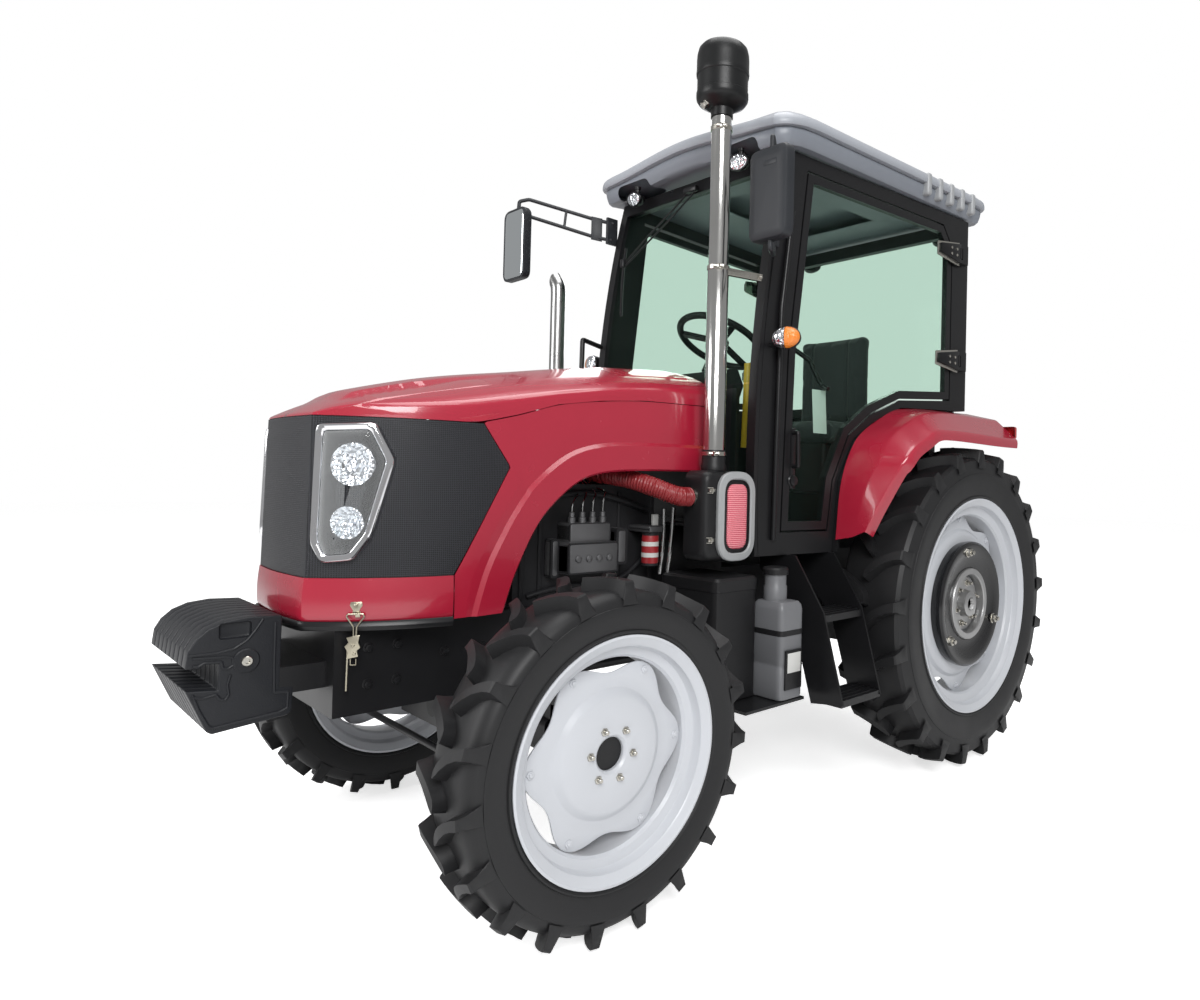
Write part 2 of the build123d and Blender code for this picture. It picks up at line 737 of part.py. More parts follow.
# Lower rear edge of the door opening, which follows the fender. columns: as above
door_sill_z = cab_floor_z + 45
door_front = [(128.0, door_sill_z), (150.0, 1740.0), (238.0, cab_top_z - 55)]
door_back = [(1165.0, cab_top_z - 55), (1240.0, cab_top_z - 150), (1240.0, 1640.0), (858.0, 1612.0)]
door_curve = [(660.0, 1535.0), (520.0, 1440.0), (425.0, 1250.0), (398.0, door_sill_z)]
door_opening = door_front + door_back + door_curve
frame_curve = [(425.0, cab_floor_z - 40), (452.0, 1250.0), (542.0, 1418.0), (680.0, 1508.0), (868.0, 1580.0)]
frame_back = [(side_length, 1600.0), (side_length, cab_top_z)]
door_hinge_s = 1262.0
door_hinge_out = 20.0
hinge_heights = (1830.0, 2340.0)


def door_hinge_point(z):
    """Point on the left door's hinge axis at one height."""
    plane = side_plane(door_hinge_out)
    return plane.from_local_coords(Vector(door_hinge_s, z, 0))


with BuildPart() as cab_frame:
    with BuildSketch(side_plane()):
        with BuildLine():
            buried = [(s + cab_wall / 2, z) for s, z in (pillar_head, pillar_middle, pillar_foot)]
            ThreePointArc(*buried)
            Polyline(buried[2], *frame_curve, *frame_back, buried[0])
        make_face()
        Polygon(*door_opening, align=None, mode=Mode.SUBTRACT)
    extrude(amount=-cab_wall)
    # hinge blocks and pins for the doors
    for z in hinge_heights:
        with BuildSketch(side_plane()):
            with Locations((door_hinge_s + 40, z)):
                Rectangle(44, 90)
        extrude(amount=door_hinge_out + 12)
        with BuildSketch(side_plane()):
            with Locations((door_hinge_s + 20, z - 36), (door_hinge_s + 20, z + 36)):
                Rectangle(40, 18)
        extrude(amount=door_hinge_out + 12)
        for low in (-45, 27):
            with BuildSketch(Plane(door_hinge_point(z + low), x_dir=(1, 0, 0), z_dir=(0, 0, 1))):
                Circle(13)
            extrude(amount=18)
        with BuildSketch(Plane(door_hinge_point(z - 45), x_dir=(1, 0, 0), z_dir=(0, 0, 1))):
            Circle(hinge_pin_radius)
        extrude(amount=90)
    mirror(about=Plane.YZ)
    # windscreen frame, a band behind the arc of the pillars
    with BuildSketch(Plane.YZ):
        front = back(cab_front_y)
        with BuildLine():
            start = (front + pillar_foot[0], pillar_foot[1])
            end = (front + pillar_head[0], pillar_head[1])
            ThreePointArc(start, (front + pillar_middle[0], pillar_middle[1]), end)
            Polyline(end, (end[0] + cab_wall, end[1]))
            middle = (front + pillar_middle[0] + cab_wall, pillar_middle[1])
            ThreePointArc((end[0] + cab_wall, end[1]), middle, (start[0] + cab_wall, start[1]))
            Polyline((start[0] + cab_wall, start[1]), start)
        make_face()
    extrude(amount=cab_front_half, both=True)
    with BuildSketch(Plane((0, front - 50, 0), x_dir=(1, 0, 0), z_dir=(0, -1, 0))):
        with Locations((0, (1085 + cab_top_z - 60) / 2)):
            Rectangle(2 * (cab_front_half - 42), cab_top_z - 60 - 1085)
    extrude(amount=-300, mode=Mode.SUBTRACT)
    # rear wall
    with BuildSketch(Plane((0, back(cab_rear_y), 0), x_dir=(1, 0, 0), z_dir=(0, -1, 0))):
        with Locations((0, (1600 + cab_top_z) / 2)):
            Rectangle(2 * cab_rear_half - 20, cab_top_z - 1600)
        with Locations((0, (1650 + cab_top_z - 60) / 2)):
            Rectangle(2 * cab_rear_half - 130, cab_top_z - 60 - 1650, mode=Mode.SUBTRACT)
    extrude(amount=cab_wall)
save(cab_frame.part, "cab_frame")


# ---------------------------------------------------------------- floor, inner walls and cowl
tub_half = 455.0
tub_wall = 18.0
shelf_half = 555.0
cab_bottom_z = cab_floor_z - 40
seat_platform_z = 1190.0
platform_front = -450.0
cowl_front = cab_front_y - 75
firewall_y = cab_front_y + cab_wall + seat_gap
shelf_shift = cab_wall * sin(radians(side_angle)) + 1
shelf = [(s + shelf_shift, z - seat_gap) for s, z in frame_curve] + [(side_length, 1600 - seat_gap)]
with BuildPart() as cab_floor:
    with BuildSketch(Plane.XY.offset(cab_bottom_z)):
        with Locations((0, back((firewall_y + platform_front) / 2))):
            Rectangle(2 * tub_half, platform_front - firewall_y)
    extrude(amount=cab_floor_z - cab_bottom_z)
    with BuildSketch(Plane.XY.offset(cab_bottom_z)):
        with Locations((0, back((platform_front + cab_rear_y) / 2))):
            Rectangle(2 * tub_half, cab_rear_y - platform_front)
    extrude(amount=seat_platform_z - cab_bottom_z)
    # wheel housings: a wall on each side and a shelf under the side's lower edge
    for side in (1, -1):
        for inner, outer, depth in ((tub_half - tub_wall, tub_half, 600), (tub_half, shelf_half, tub_wall)):
            with BuildSketch(Plane.YZ.offset(side * inner)):
                top = [(back(cab_front_y + s), z) for s, z in shelf]
                if depth > tub_wall:
                    low = [(back(cab_rear_y), cab_bottom_z)]
                else:
                    low = [(y + tub_wall, z - tub_wall) for y, z in reversed(top[1:-1])]
                    low = [(back(cab_rear_y), top[-1][1] - tub_wall)] + low
                    low = low + [(top[0][0] + tub_wall, top[0][1])]
                Polygon(*top, *low, align=None)
            extrude(amount=side * (outer - inner))
    # rear wall below the rear window
    with BuildSketch(Plane((0, back(cab_rear_y - seat_gap), 0), x_dir=(1, 0, 0), z_dir=(0, -1, 0))):
        with Locations((0, (seat_platform_z + 1600 - seat_gap) / 2)):
            Rectangle(2 * tub_half, 1600 - seat_gap - seat_platform_z)
    extrude(amount=tub_wall)
    # firewall behind the windscreen's foot, and the cowl that carries the hood's hinge
    with BuildSketch(Plane((0, back(firewall_y), 0), x_dir=(1, 0, 0), z_dir=(0, 1, 0))):
        with Locations((0, -(cab_bottom_z + 1600) / 2)):
            Rectangle(2 * 350, 1600 - cab_bottom_z)
    extrude(amount=tub_wall)
    with BuildSketch(Plane.XY.offset(1300)):
        with Locations((0, back((cowl_front + firewall_y) / 2))):
            Rectangle(600, firewall_y - cowl_front)
    extrude(amount=255)
    for side in (1, -1):
        x = side * (hinge_x + 9 + seat_gap + 2)
        with BuildSketch(Plane.YZ.offset(x)):
            Polygon(
                (back(cowl_front) + 1, 1500),
                (back(cowl_front) + 1, 1555),
                (hinge_y + 22, hinge_z + 12),
                (hinge_y - 6, hinge_z + 16),
                (hinge_y - 16, hinge_z - 8),
                align=None,
            )
        extrude(amount=side * 18)
        with BuildSketch(across(x, hinge_y, hinge_z)):
            Circle(hinge_pin_radius)
        extrude(amount=-side * 22)
save(cab_floor.part, "cab_floor")

# ---------------------------------------------------------------- dash and steering wheel
dash_half = 190.0
dash_top_z = 1710.0
wheel_ring_radius = 190.0
wheel_hub_z = 1850.0
wheel_tilt = 28.0
with BuildPart() as dash:
    with BuildSketch(Plane.YZ):
        rear = back(firewall_y + tub_wall + seat_gap)
        Polygon(
            (rear, cab_floor_z + seat_gap),
            (rear + 150, cab_floor_z + seat_gap),
            (rear + 130, 1500),
            (rear + 190, 1640),
            (rear + 150, dash_top_z),
            (rear, dash_top_z - 30),
            align=None,
        )
    extrude(amount=dash_half, both=True)
save(dash.part, "dash")

with BuildPart() as steering_wheel:
    tilt = radians(wheel_tilt)
    hub_y = rear + 235
    lean = Plane((0, hub_y, wheel_hub_z), x_dir=(1, 0, 0), z_dir=(0, sin(tilt), cos(tilt)))
    with BuildSketch(Plane(lean.origin, x_dir=lean.z_dir, z_dir=(0, cos(tilt), -sin(tilt)))):
        with Locations((0, wheel_ring_radius)):
            Circle(15)
    revolve(axis=Axis(lean.origin, lean.z_dir))
    with BuildSketch(lean):
        Circle(38)
        for turn in (90, 210, 330):
            with Locations(Location((0, 0, 0), (0, 0, turn))):
                with Locations((wheel_ring_radius / 2, 0)):
                    Rectangle(wheel_ring_radius, 26)
    extrude(amount=9, both=True)
    with BuildSketch(lean):
        Circle(26)
    extrude(amount=-163.2)
save(steering_wheel.part, "steering_wheel")

# ---------------------------------------------------------------- seat
seat_y = -150.0  # middle of the cushion
seat_base_top = 1440.0
cushion_height = 95.0
with BuildPart() as seat_base:
    with BuildSketch(Plane.XY.offset(seat_platform_z + seat_gap)):
        with Locations((0, back(seat_y))):
            RectangleRounded(330, 340, 25)
    extrude(amount=seat_base_top - seat_platform_z - 2 * seat_gap)
save(seat_base.part, "seat_base")

with BuildPart() as seat:
    with BuildSketch(Plane.XY.offset(seat_base_top)):
        with Locations((0, back(seat_y - 20))):
            RectangleRounded(480, 430, 60)
    extrude(amount=cushion_height)
    with BuildSketch(Plane((0, back(seat_y + 170), 0), x_dir=(1, 0, 0), z_dir=(0, -1, 0))):
        with Locations((0, seat_base_top + 280)):
            RectangleRounded(450, 560, 70)
    extrude(amount=-95)
save(seat.part, "seat")

# ---------------------------------------------------------------- glass
windscreen_low_z = 1615.0
with BuildPart() as cab_glass:
    front = back(cab_front_y)
    with BuildSketch(Plane.YZ):
        with BuildLine():
            inset = cab_wall / 2
            start = (front + pillar_foot[0] + inset, pillar_foot[1])
            end = (front + pillar_head[0] + inset, pillar_head[1])
            middle = (front + pillar_middle[0] + inset, pillar_middle[1])
            ThreePointArc(start, middle, end)
            Polyline(end, (end[0] + glass_thickness, end[1]))
            middle = (middle[0] + glass_thickness, middle[1])
            ThreePointArc((end[0] + glass_thickness, end[1]), middle, (start[0] + glass_thickness, start[1]))
            Polyline((start[0] + glass_thickness, start[1]), start)
        make_face()
    extrude(amount=cab_front_half - 42 - seat_gap, both=True)
    with BuildSketch(Plane((0, front - 50, 0), x_dir=(1, 0, 0), z_dir=(0, -1, 0))):
        with Locations((0, (windscreen_low_z + cab_top_z - 60 - seat_gap) / 2)):
            Rectangle(2 * cab_front_half, cab_top_z - 60 - seat_gap - windscreen_low_z)
        for side in (1, -1):
            low = 1085 + seat_gap
            high = windscreen_low_z - 6
            with Locations((side * (cab_front_half - 42 + 354) / 2, (low + high) / 2)):
                Rectangle(cab_front_half - 42 - 354, high - low)
    extrude(amount=-400, mode=Mode.INTERSECT)
    with BuildSketch(Plane((0, back(cab_rear_y - cab_wall / 2), 0), x_dir=(1, 0, 0), z_dir=(0, -1, 0))):
        with Locations((0, (1650 + cab_top_z - 60) / 2)):
            height = cab_top_z - 60 - 1650 - 2 * seat_gap
            Rectangle(2 * cab_rear_half - 130 - 2 * seat_gap, height)
    extrude(amount=glass_thickness)
save(cab_glass.part, "cab_glass")

# ---------------------------------------------------------------- doors, hinged at their rear edge
with BuildPart() as door_frame:
    with BuildSketch(side_plane()):
        Polygon(*door_opening, align=None)
        offset(amount=-door_gap, kind=Kind.INTERSECTION, mode=Mode.REPLACE)
        offset(amount=-door_frame_width, kind=Kind.INTERSECTION, mode=Mode.SUBTRACT)
    extrude(amount=-door_thickness)
    for z in hinge_heights:
        with BuildSketch(side_plane(1.5)):
            with Locations((door_hinge_s - 50, z)):
                Rectangle(100, 50)
        extrude(amount=12)
        with BuildSketch(side_plane(-4)):
            with Locations((door_hinge_s - 62, z)):
                Rectangle(40, 50)
        extrude(amount=10)
        with BuildSketch(Plane(door_hinge_point(z - 25), x_dir=(1, 0, 0), z_dir=(0, 0, 1))):
            Circle(16)
        extrude(amount=50)
        with BuildSketch(Plane(door_hinge_point(z - 25), x_dir=(1, 0, 0), z_dir=(0, 0, 1))):
            Circle(hinge_pin_radius + bearing_gap)
        extrude(amount=50, mode=Mode.SUBTRACT)
save(door_frame.part, "door_left_frame")
save(mirror(door_frame.part, about=Plane.YZ), "door_right_frame")

with BuildPart() as door_glass:
    with BuildSketch(side_plane(-door_thickness / 2)):
        Polygon(*door_opening, align=None)
        inset = door_gap + door_frame_width + seat_gap
        offset(amount=-inset, kind=Kind.INTERSECTION, mode=Mode.REPLACE)
    extrude(amount=glass_thickness)
save(door_glass.part, "door_left_glass")
save(mirror(door_glass.part, about=Plane.YZ), "door_right_glass")

# ---------------------------------------------------------------- roof and its lamps
with BuildPart() as roof:
    # columns: height, inset of the outline, corner radius
    levels = [(cab_top_z + seat_gap, 26.0), (cab_top_z + 60, 0.0), (cab_top_z + 105, 12.0), (cab_top_z + roof_height, 150.0)]
    for z, inset in levels:
        with BuildSketch(Plane.XY.offset(z)):
            with BuildLine():
                front = back(-roof_front) + inset
                rear = back(roof_rear) - inset
                low = roof_front_half - inset
                high = roof_rear_half - inset
                Polyline(
                    (-low + 60, front),
                    (low - 60, front),
                    (low, front + 60),
                    (high, rear - 50),
                    (high - 50, rear),
                    (-high + 50, rear),
                    (-high, rear - 50),
                    (-low, front + 60),
                    close=True,
                )
            make_face()
    loft(ruled=True)
save(roof.part, "roof")

with BuildPart() as cab_lamps:
    # columns: distance from the middle, face, the way from the face into the lamp
    for x, y, z_dir in ((320, back(-roof_front) + 30, 1), (420, back(roof_rear) - 30, -1)):
        for side in (1, -1):
            with BuildSketch(Plane((side * x, y, cab_top_z - 31), x_dir=(1, 0, 0), z_dir=(0, z_dir, 0))):
                RectangleRounded(110, 62, 20)
            extrude(amount=45)
    # turn lamps on short arms from the windscreen pillars
    for side in (1, -1):
        turn_lamp_x = cab_front_half + 57 * tan(radians(side_angle)) + seat_gap
        with BuildSketch(across(side * turn_lamp_x, back(cab_front_y + 48), 1770)):
            Circle(9)
        extrude(amount=side * 60)
        with BuildSketch(Plane.XY.offset(1738)):
            with Locations((side * (cab_front_half + 72), back(cab_front_y + 46))):
                RectangleRounded(95, 52, 18)
        extrude(amount=64)
save(cab_lamps.part, "cab_lamps")

# ---------------------------------------------------------------- rear fenders
fender_wall = 6.0
fender_lip = 40.0
fender_outer_x = 830.0
rear_tip = 335.0
# Edges of the fender's outside in side view, from the front foot to the rear tip: place, height
inner_edge = [(-738, 1010), (-706, 1248), (-618, 1412), (-480, 1500), (-290, 1574), (rear_tip, 1596)]
middle_edge = [(-735, 1025), (-703, 1238), (-616, 1400), (-475, 1492), (-290, 1552), (rear_tip, 1560)]
outer_edge = [(-733, 1050), (-698, 1190), (-628, 1352), (-500, 1428), (-361, 1470), (rear_tip, 1466)]


def towards_axle(points, distance):
    """Points moved towards the rear axle by a distance."""
    moved = []
    for y, z in points:
        reach = sqrt(y**2 + (z - rear_axle_z) ** 2)
        share = 1 - distance / reach
        moved.append((y * share, rear_axle_z + (z - rear_axle_z) * share))
    return moved


with BuildPart() as fenders:
    # columns: x, the edge there, how far the edge is moved towards the axle
    stations = [
        (shelf_half + seat_gap, inner_edge, 0),
        (720.0, middle_edge, 0),
        (fender_outer_x - 18, outer_edge, 0),
        (fender_outer_x, outer_edge, fender_lip),
    ]
    for x, edge, drop in stations:
        high = towards_axle(edge, drop)
        low = towards_axle(edge, drop + fender_wall)
        with BuildSketch(Plane.YZ.offset(x)):
            Polygon(*[(back(y), z) for y, z in high + low[::-1]], align=None)
    loft(ruled=True)
    # the front foot narrows downwards
    with BuildSketch(Plane((0, back(-900), 0), x_dir=(1, 0, 0), z_dir=(0, 1, 0))):
        Polygon((700, -1000), (800, -1352), (900, -1352), (900, -900), (700, -900), align=None)
    extrude(amount=400, mode=Mode.SUBTRACT)
save(fenders.part, "fender_left")
save(mirror(fenders.part, about=Plane.YZ), "fender_right")

# ---------------------------------------------------------------- air intake
air_box = (385.0, 522.0)  # inner and outer faces
air_box_y = (-1425.0, -1185.0)
air_box_z = (950.0, 1275.0)
intake_radius = 40.0
intake_y = -1322.0
intake_x = 432.0
intake_top_z = 2560.0
with BuildPart() as air_cleaner:
    with BuildSketch(across(air_box[0], back(sum(air_box_y) / 2), sum(air_box_z) / 2)):
        RectangleRounded(air_box_y[1] - air_box_y[0], air_box_z[1] - air_box_z[0], 45)
    extrude(amount=air_box[1] - air_box[0] - 20)
    with BuildSketch(across(air_box[1] - 20, back(-1278), sum(air_box_z) / 2)):
        RectangleRounded(190, 322, 70)
    extrude(amount=20)
save(air_cleaner.part, "air_cleaner")

duct_radius = 34.0
with BuildPart() as intake_duct:
    with BuildLine() as duct_run:
        FilletPolyline(
            (430, back(air_box_y[0]) - seat_gap, 1180),
            (430, -545, 1180),
            (290, -640, 1240),
            (60, -706, 1264),
            radius=60,
        )
    with BuildSketch(Plane(origin=duct_run.line @ 0, z_dir=duct_run.line % 0)):
        Circle(duct_radius)
    sweep(path=duct_run.line)
    # it ends flat on the engine's top casing
    split(bisect_by=Plane.YZ.offset(engine_casing_x + seat_gap), keep=Keep.TOP)
save(intake_duct.part, "intake_duct")

with BuildPart() as intake_pipe:
    with BuildSketch(Plane.XY.offset(air_box_z[1] + seat_gap)):
        with Locations((intake_x, back(intake_y))):
            Circle(intake_radius)
    extrude(amount=intake_top_z - air_box_z[1])
    # clamp arm to the windscreen pillar
    with BuildSketch(Plane.XY.offset(1985)):
        Polygon(
            (intake_x - 16, back(intake_y)),
            (intake_x + 16, back(intake_y)),
            (cab_front_half - 8, back(cab_front_y + 23 - 2)),
            (cab_front_half - 42, back(cab_front_y + 23 - 2)),
            align=None,
        )
    extrude(amount=24)
save(intake_pipe.part, "intake_pipe")

precleaner_radius = 95.0
with BuildPart() as precleaner:
    # columns: height above the pipe's top, radius
    profile = [(0, 44), (40, 60), (48, 88), (150, precleaner_radius), (165, 98), (180, 98), (235, 95), (262, 80), (262, 0), (0, 0)]
    with BuildSketch(Plane((intake_x, back(intake_y), intake_top_z + 2 * seat_gap), x_dir=(1, 0, 0), z_dir=(0, -1, 0))):
        Polygon(*[(radius, height) for height, radius in profile], align=None)
    revolve(axis=Axis((intake_x, back(intake_y), 0), (0, 0, 1)))
save(precleaner.part, "precleaner")

# ---------------------------------------------------------------- exhaust on the right side
exhaust_radius = 31.0
exhaust_y = -1440.0
exhaust_x = -418.0
exhaust_z = 1215.0
exhaust_top_z = 2080.0
with BuildPart() as exhaust:
    with BuildLine() as route:
        FilletPolyline(
            (-engine_half_width - seat_gap, back(exhaust_y), exhaust_z),
            (exhaust_x, back(exhaust_y), exhaust_z),
            (exhaust_x, back(exhaust_y), exhaust_top_z - 40),
            (exhaust_x, back(exhaust_y) + 90, exhaust_top_z),
            radius=45,
        )
    with BuildSketch(Plane(origin=route.line @ 0, z_dir=route.line % 0)):
        Circle(exhaust_radius)
    sweep(path=route.line)
save(exhaust.part, "exhaust")

# ---------------------------------------------------------------- carriers beside the clutch housing
carrier_z = 460.0
carrier_plate = 10.0
carrier_front = -1372.0
carrier_rear = -1060.0
carrier_reach = 665.0
carrier_height = 350.0
casing_half = 215.0
box_top_z = 900.0
arm_z = 1080.0
plate_half = 60.0
for name, side in (("left", 1), ("right", -1)):
    with BuildPart() as carrier:
        inner = casing_half + seat_gap
        with BuildSketch(Plane.XY.offset(carrier_z - carrier_plate)):
            with Locations((side * (inner + carrier_reach) / 2, back((carrier_front + carrier_rear) / 2))):
                Rectangle(carrier_reach - inner, carrier_rear - carrier_front)
        extrude(amount=carrier_plate)
        with BuildSketch(Plane.XY.offset(carrier_z - carrier_plate)):
            with Locations((side * (inner + carrier_plate / 2), back((carrier_front + carrier_rear) / 2))):
                Rectangle(carrier_plate, carrier_rear - carrier_front)
        extrude(amount=carrier_height)
        if side > 0:
            reach = air_box[0] - seat_gap
            with BuildSketch(Plane.XY.offset(carrier_z)):
                with Locations((inner + carrier_plate / 2, back(carrier_front + plate_half))):
                    Rectangle(carrier_plate, 2 * plate_half)
            extrude(amount=arm_z - carrier_z)
            with BuildSketch(Plane.XY.offset(arm_z - carrier_plate)):
                with Locations(((inner + reach) / 2, back(carrier_front + plate_half))):
                    Rectangle(reach - inner, 2 * plate_half)
            extrude(amount=carrier_plate)
    save(carrier.part, f"carrier_{name}")

with BuildPart() as battery_box:
    with BuildSketch(Plane.XY.offset(carrier_z + seat_gap)):
        with Locations((405, back(-1305))):
            RectangleRounded(300, 214, 18)
    extrude(amount=box_top_z - carrier_z)
save(battery_box.part, "battery_box")

with BuildPart() as fluid_tank:
    with BuildSketch(Plane.XY.offset(carrier_z + seat_gap)):
        with Locations((590, back(-1130))):
            RectangleRounded(150, 128, 22)
    extrude(amount=350)
    with BuildSketch(Plane.XY.offset(carrier_z + seat_gap + 350)):
        with Locations((580, back(-1135))):
            Circle(42)
    extrude(amount=95)
    with BuildSketch(Plane.XY.offset(carrier_z + seat_gap + 445)):
        with Locations((580, back(-1135))):
            Circle(48)
    extrude(amount=26)
save(fluid_tank.part, "fluid_tank")

with BuildPart() as fuel_tank:
    with BuildSketch(Plane.XY.offset(carrier_z + seat_gap)):
        with Locations((-450, back((carrier_front + carrier_rear) / 2))):
            RectangleRounded(400, carrier_rear - carrier_front - 10, 45)
    extrude(amount=box_top_z - carrier_z - 10)
    with BuildSketch(Plane.XY.offset(box_top_z - 10)):
        with Locations((-560, back(-1250))):
            Circle(45)
    extrude(amount=40)
save(fuel_tank.part, "fuel_tank")

# ---------------------------------------------------------------- steps under the doors
step_front = -1000.0
step_rear = -752.0
step_plate = 8.0
# columns: inner x, outer x, height of the tread's top
treads = [(560.0, 700.0, 750.0), (650.0, 790.0, 455.0)]
with BuildPart() as steps:
    for y in (step_front, step_rear - step_plate):
        with BuildSketch(Plane((0, back(y), 0), x_dir=(1, 0, 0), z_dir=(0, 1, 0))):
            Polygon(
                (380, -cab_bottom_z + seat_gap),
                (560, -cab_bottom_z + seat_gap),
                (700, -760),
                (795, -440),
                (650, -420),
                (560, -700),
                (380, -900),
                align=None,
            )
        extrude(amount=step_plate)
    for inner, outer, z in treads:
        with BuildSketch(Plane.XY.offset(z - 25)):
            with Locations(((inner + outer) / 2, back((step_front + step_rear) / 2))):
                Rectangle(outer - inner, step_rear - step_front)
        extrude(amount=25)
save(steps.part, "steps_left")
save(mirror(steps.part, about=Plane.YZ), "steps_right")

# ---------------------------------------------------------------- mirrors
with BuildPart() as mirrors:
    # columns: side, head x, head y, head middle z, arm heights
    for side, x, y, z, arms in ((1, 655, -1270, 2240, (2330, 2150)), (-1, 738, -1426, 2285, (2400, 2340))):
        with BuildSketch(Plane((side * x, back(y), z), x_dir=(1, 0, 0), z_dir=(0, -1, 0))):
            RectangleRounded(176, 325, 50)
        extrude(amount=50)
        for arm_height in arms:
            foot_s = (arm_height - pillar_middle[1]) / (pillar_head[1] - pillar_middle[1])
            foot_y = back(cab_front_y + pillar_middle[0] + foot_s * (pillar_head[0] - pillar_middle[0]) + 30)
            foot_run = foot_y + 17 - back(cab_front_y)
            foot_x = cab_front_half + foot_run * tan(radians(side_angle)) + seat_gap
            with BuildLine() as arm:
                Polyline(
                    (side * (foot_x + 9), foot_y, arm_height),
                    (side * (x - 30), back(y) - 5, arm_height),
                )
            with BuildSketch(Plane(origin=arm.line @ 0, z_dir=arm.line % 0)):
                Circle(9)
            sweep(path=arm.line)
            with BuildSketch(across(side * foot_x, foot_y, arm_height)):
                Rectangle(34, 50)
            extrude(amount=side * 9)
save(mirrors.part, "mirrors")

# ---------------------------------------------------------------- rear lamps under the fenders' tips
with BuildPart() as rear_lamps:
    for side in (1, -1):
        with BuildSketch(Plane((side * 752, back(rear_tip) + seat_gap, 1500), x_dir=(1, 0, 0), z_dir=(0, 1, 0))):
            RectangleRounded(120, 70, 14)
        extrude(amount=32)
save(rear_lamps.part, "rear_lamps")

# ---------------------------------------------------------------- three-point hitch
hitch_step = 300.0  # pivot to lift rod, on the lift arms and on the lower links alike
link_pivot = (120.0, 560.0)  # place behind the rear axle, height
arm_pivot = (262.0, 895.0)
link_eye = 34.0
link_drop = 4.0  # degrees below level at rest
link_length = (rear_overhang - link_eye - link_pivot[0]) / cos(radians(link_drop))
link_front_x = 228.0
link_rear_x = 400.0
link_thickness = 16.0
eye_radius = 14.35
pin_radius = 11.0
arm_x = 268.0
arm_width = 24.0
casing_rear = 215.0
run_y = hitch_step * cos(radians(link_drop))
run_z = -hitch_step * sin(radians(link_drop))
splay = (link_rear_x - link_front_x) / link_length
rod_x = arm_x + arm_width + 26.0

with BuildPart() as lift_arms:
    with BuildSketch(across(-arm_x, back(arm_pivot[0]), arm_pivot[1])):
        Circle(26)
    extrude(amount=2 * arm_x)
    for side in (1, -1):
        with BuildSketch(Plane.YZ.offset(side * arm_x)):
            start = (back(arm_pivot[0]), arm_pivot[1])
            end = (back(arm_pivot[0] + run_y), arm_pivot[1] + run_z)
            with Locations(start):
                Circle(40)
            with Locations(end):
                Circle(24)
            Polygon(
                (start[0], start[1] + 38),
                (end[0], end[1] + 23),
                (end[0], end[1] - 23),
                (start[0], start[1] - 38),
                align=None,
            )
        extrude(amount=side * arm_width)
        with BuildSketch(across(side * (arm_x + arm_width), end[0], end[1])):
            Circle(pin_radius)
        extrude(amount=side * 44)
save(lift_arms.part, "lift_arms")

link_start = (back(link_pivot[0]), link_pivot[1])
link_mid = (link_start[0] + run_y, link_start[1] + run_z)
rod_top = (back(arm_pivot[0] + run_y), arm_pivot[1] + run_z)
link_mid_x = link_front_x + splay * run_y
with BuildPart() as lift_rods:
    for side in (1, -1):
        with BuildLine() as rod:
            Line((side * (rod_x), *rod_top), (side * (rod_x), *link_mid))
        with BuildSketch(Plane(origin=rod.line @ 0, z_dir=rod.line % 0)):
            Circle(11)
        sweep(path=rod.line)
        for end in (rod_top, link_mid):
            with BuildSketch(across(side * rod_x - 12, *end)):
                Circle(24)
            extrude(amount=24)
            with BuildSketch(across(side * rod_x - 12, *end)):
                Circle(pin_radius + bearing_gap)
            extrude(amount=24, mode=Mode.SUBTRACT)
save(lift_rods.part, "lift_rods")

link_end = (
    link_start[0] + link_length * cos(radians(link_drop)),
    link_start[1] - link_length * sin(radians(link_drop)),
)
with BuildPart() as lower_links:
    for side in (1, -1):
        lean = atan2(link_rear_x - link_front_x, link_length)
        run = Vector(side * sin(lean), cos(lean) * cos(radians(link_drop)), -cos(lean) * sin(radians(link_drop)))
        start = Vector(side * link_front_x, *link_start)
        with BuildSketch(Plane(origin=start, x_dir=(1, 0, 0), z_dir=run)):
            Rectangle(link_thickness, 56)
        extrude(amount=link_length / cos(lean))
        for x, end, radius in (
            (link_front_x - 12, link_start, link_eye),
            (link_rear_x - 16, link_end, link_eye),
        ):
            wide = 24 if end == link_start else 36
            with BuildSketch(across(side * x, *end)):
                Circle(radius)
            extrude(amount=side * wide)
            with BuildSketch(across(side * (x - 30), *end)):
                Circle(eye_radius)
            extrude(amount=side * 90, mode=Mode.SUBTRACT)
        with BuildSketch(across(side * (link_mid_x - 4), *link_mid)):
            Circle(pin_radius)
        extrude(amount=side * (rod_x + 22 - link_mid_x + 4))
save(lower_links.part, "lower_links")

with BuildPart() as top_link:
    with BuildSketch(Plane((0, back(casing_rear) + seat_gap, 770), x_dir=(1, 0, 0), z_dir=(0, 1, 0))):
        Rectangle(50, 60)
    extrude(amount=30)
    with BuildSketch(Plane((0, back(casing_rear) + 20, 770), x_dir=(1, 0, 0), z_dir=(0, 1, 0.12))):
        Circle(17)
    extrude(amount=560)
    eye = (back(casing_rear) + 20 + 575 * cos(atan2(0.12, 1)), 770 + 575 * sin(atan2(0.12, 1)))
    with BuildSketch(across(-22, *eye)):
        Circle(30)
    extrude(amount=44)
    with BuildSketch(across(-22, *eye)):
        Circle(12.75)
    extrude(amount=44, mode=Mode.SUBTRACT)
save(top_link.part, "top_link")

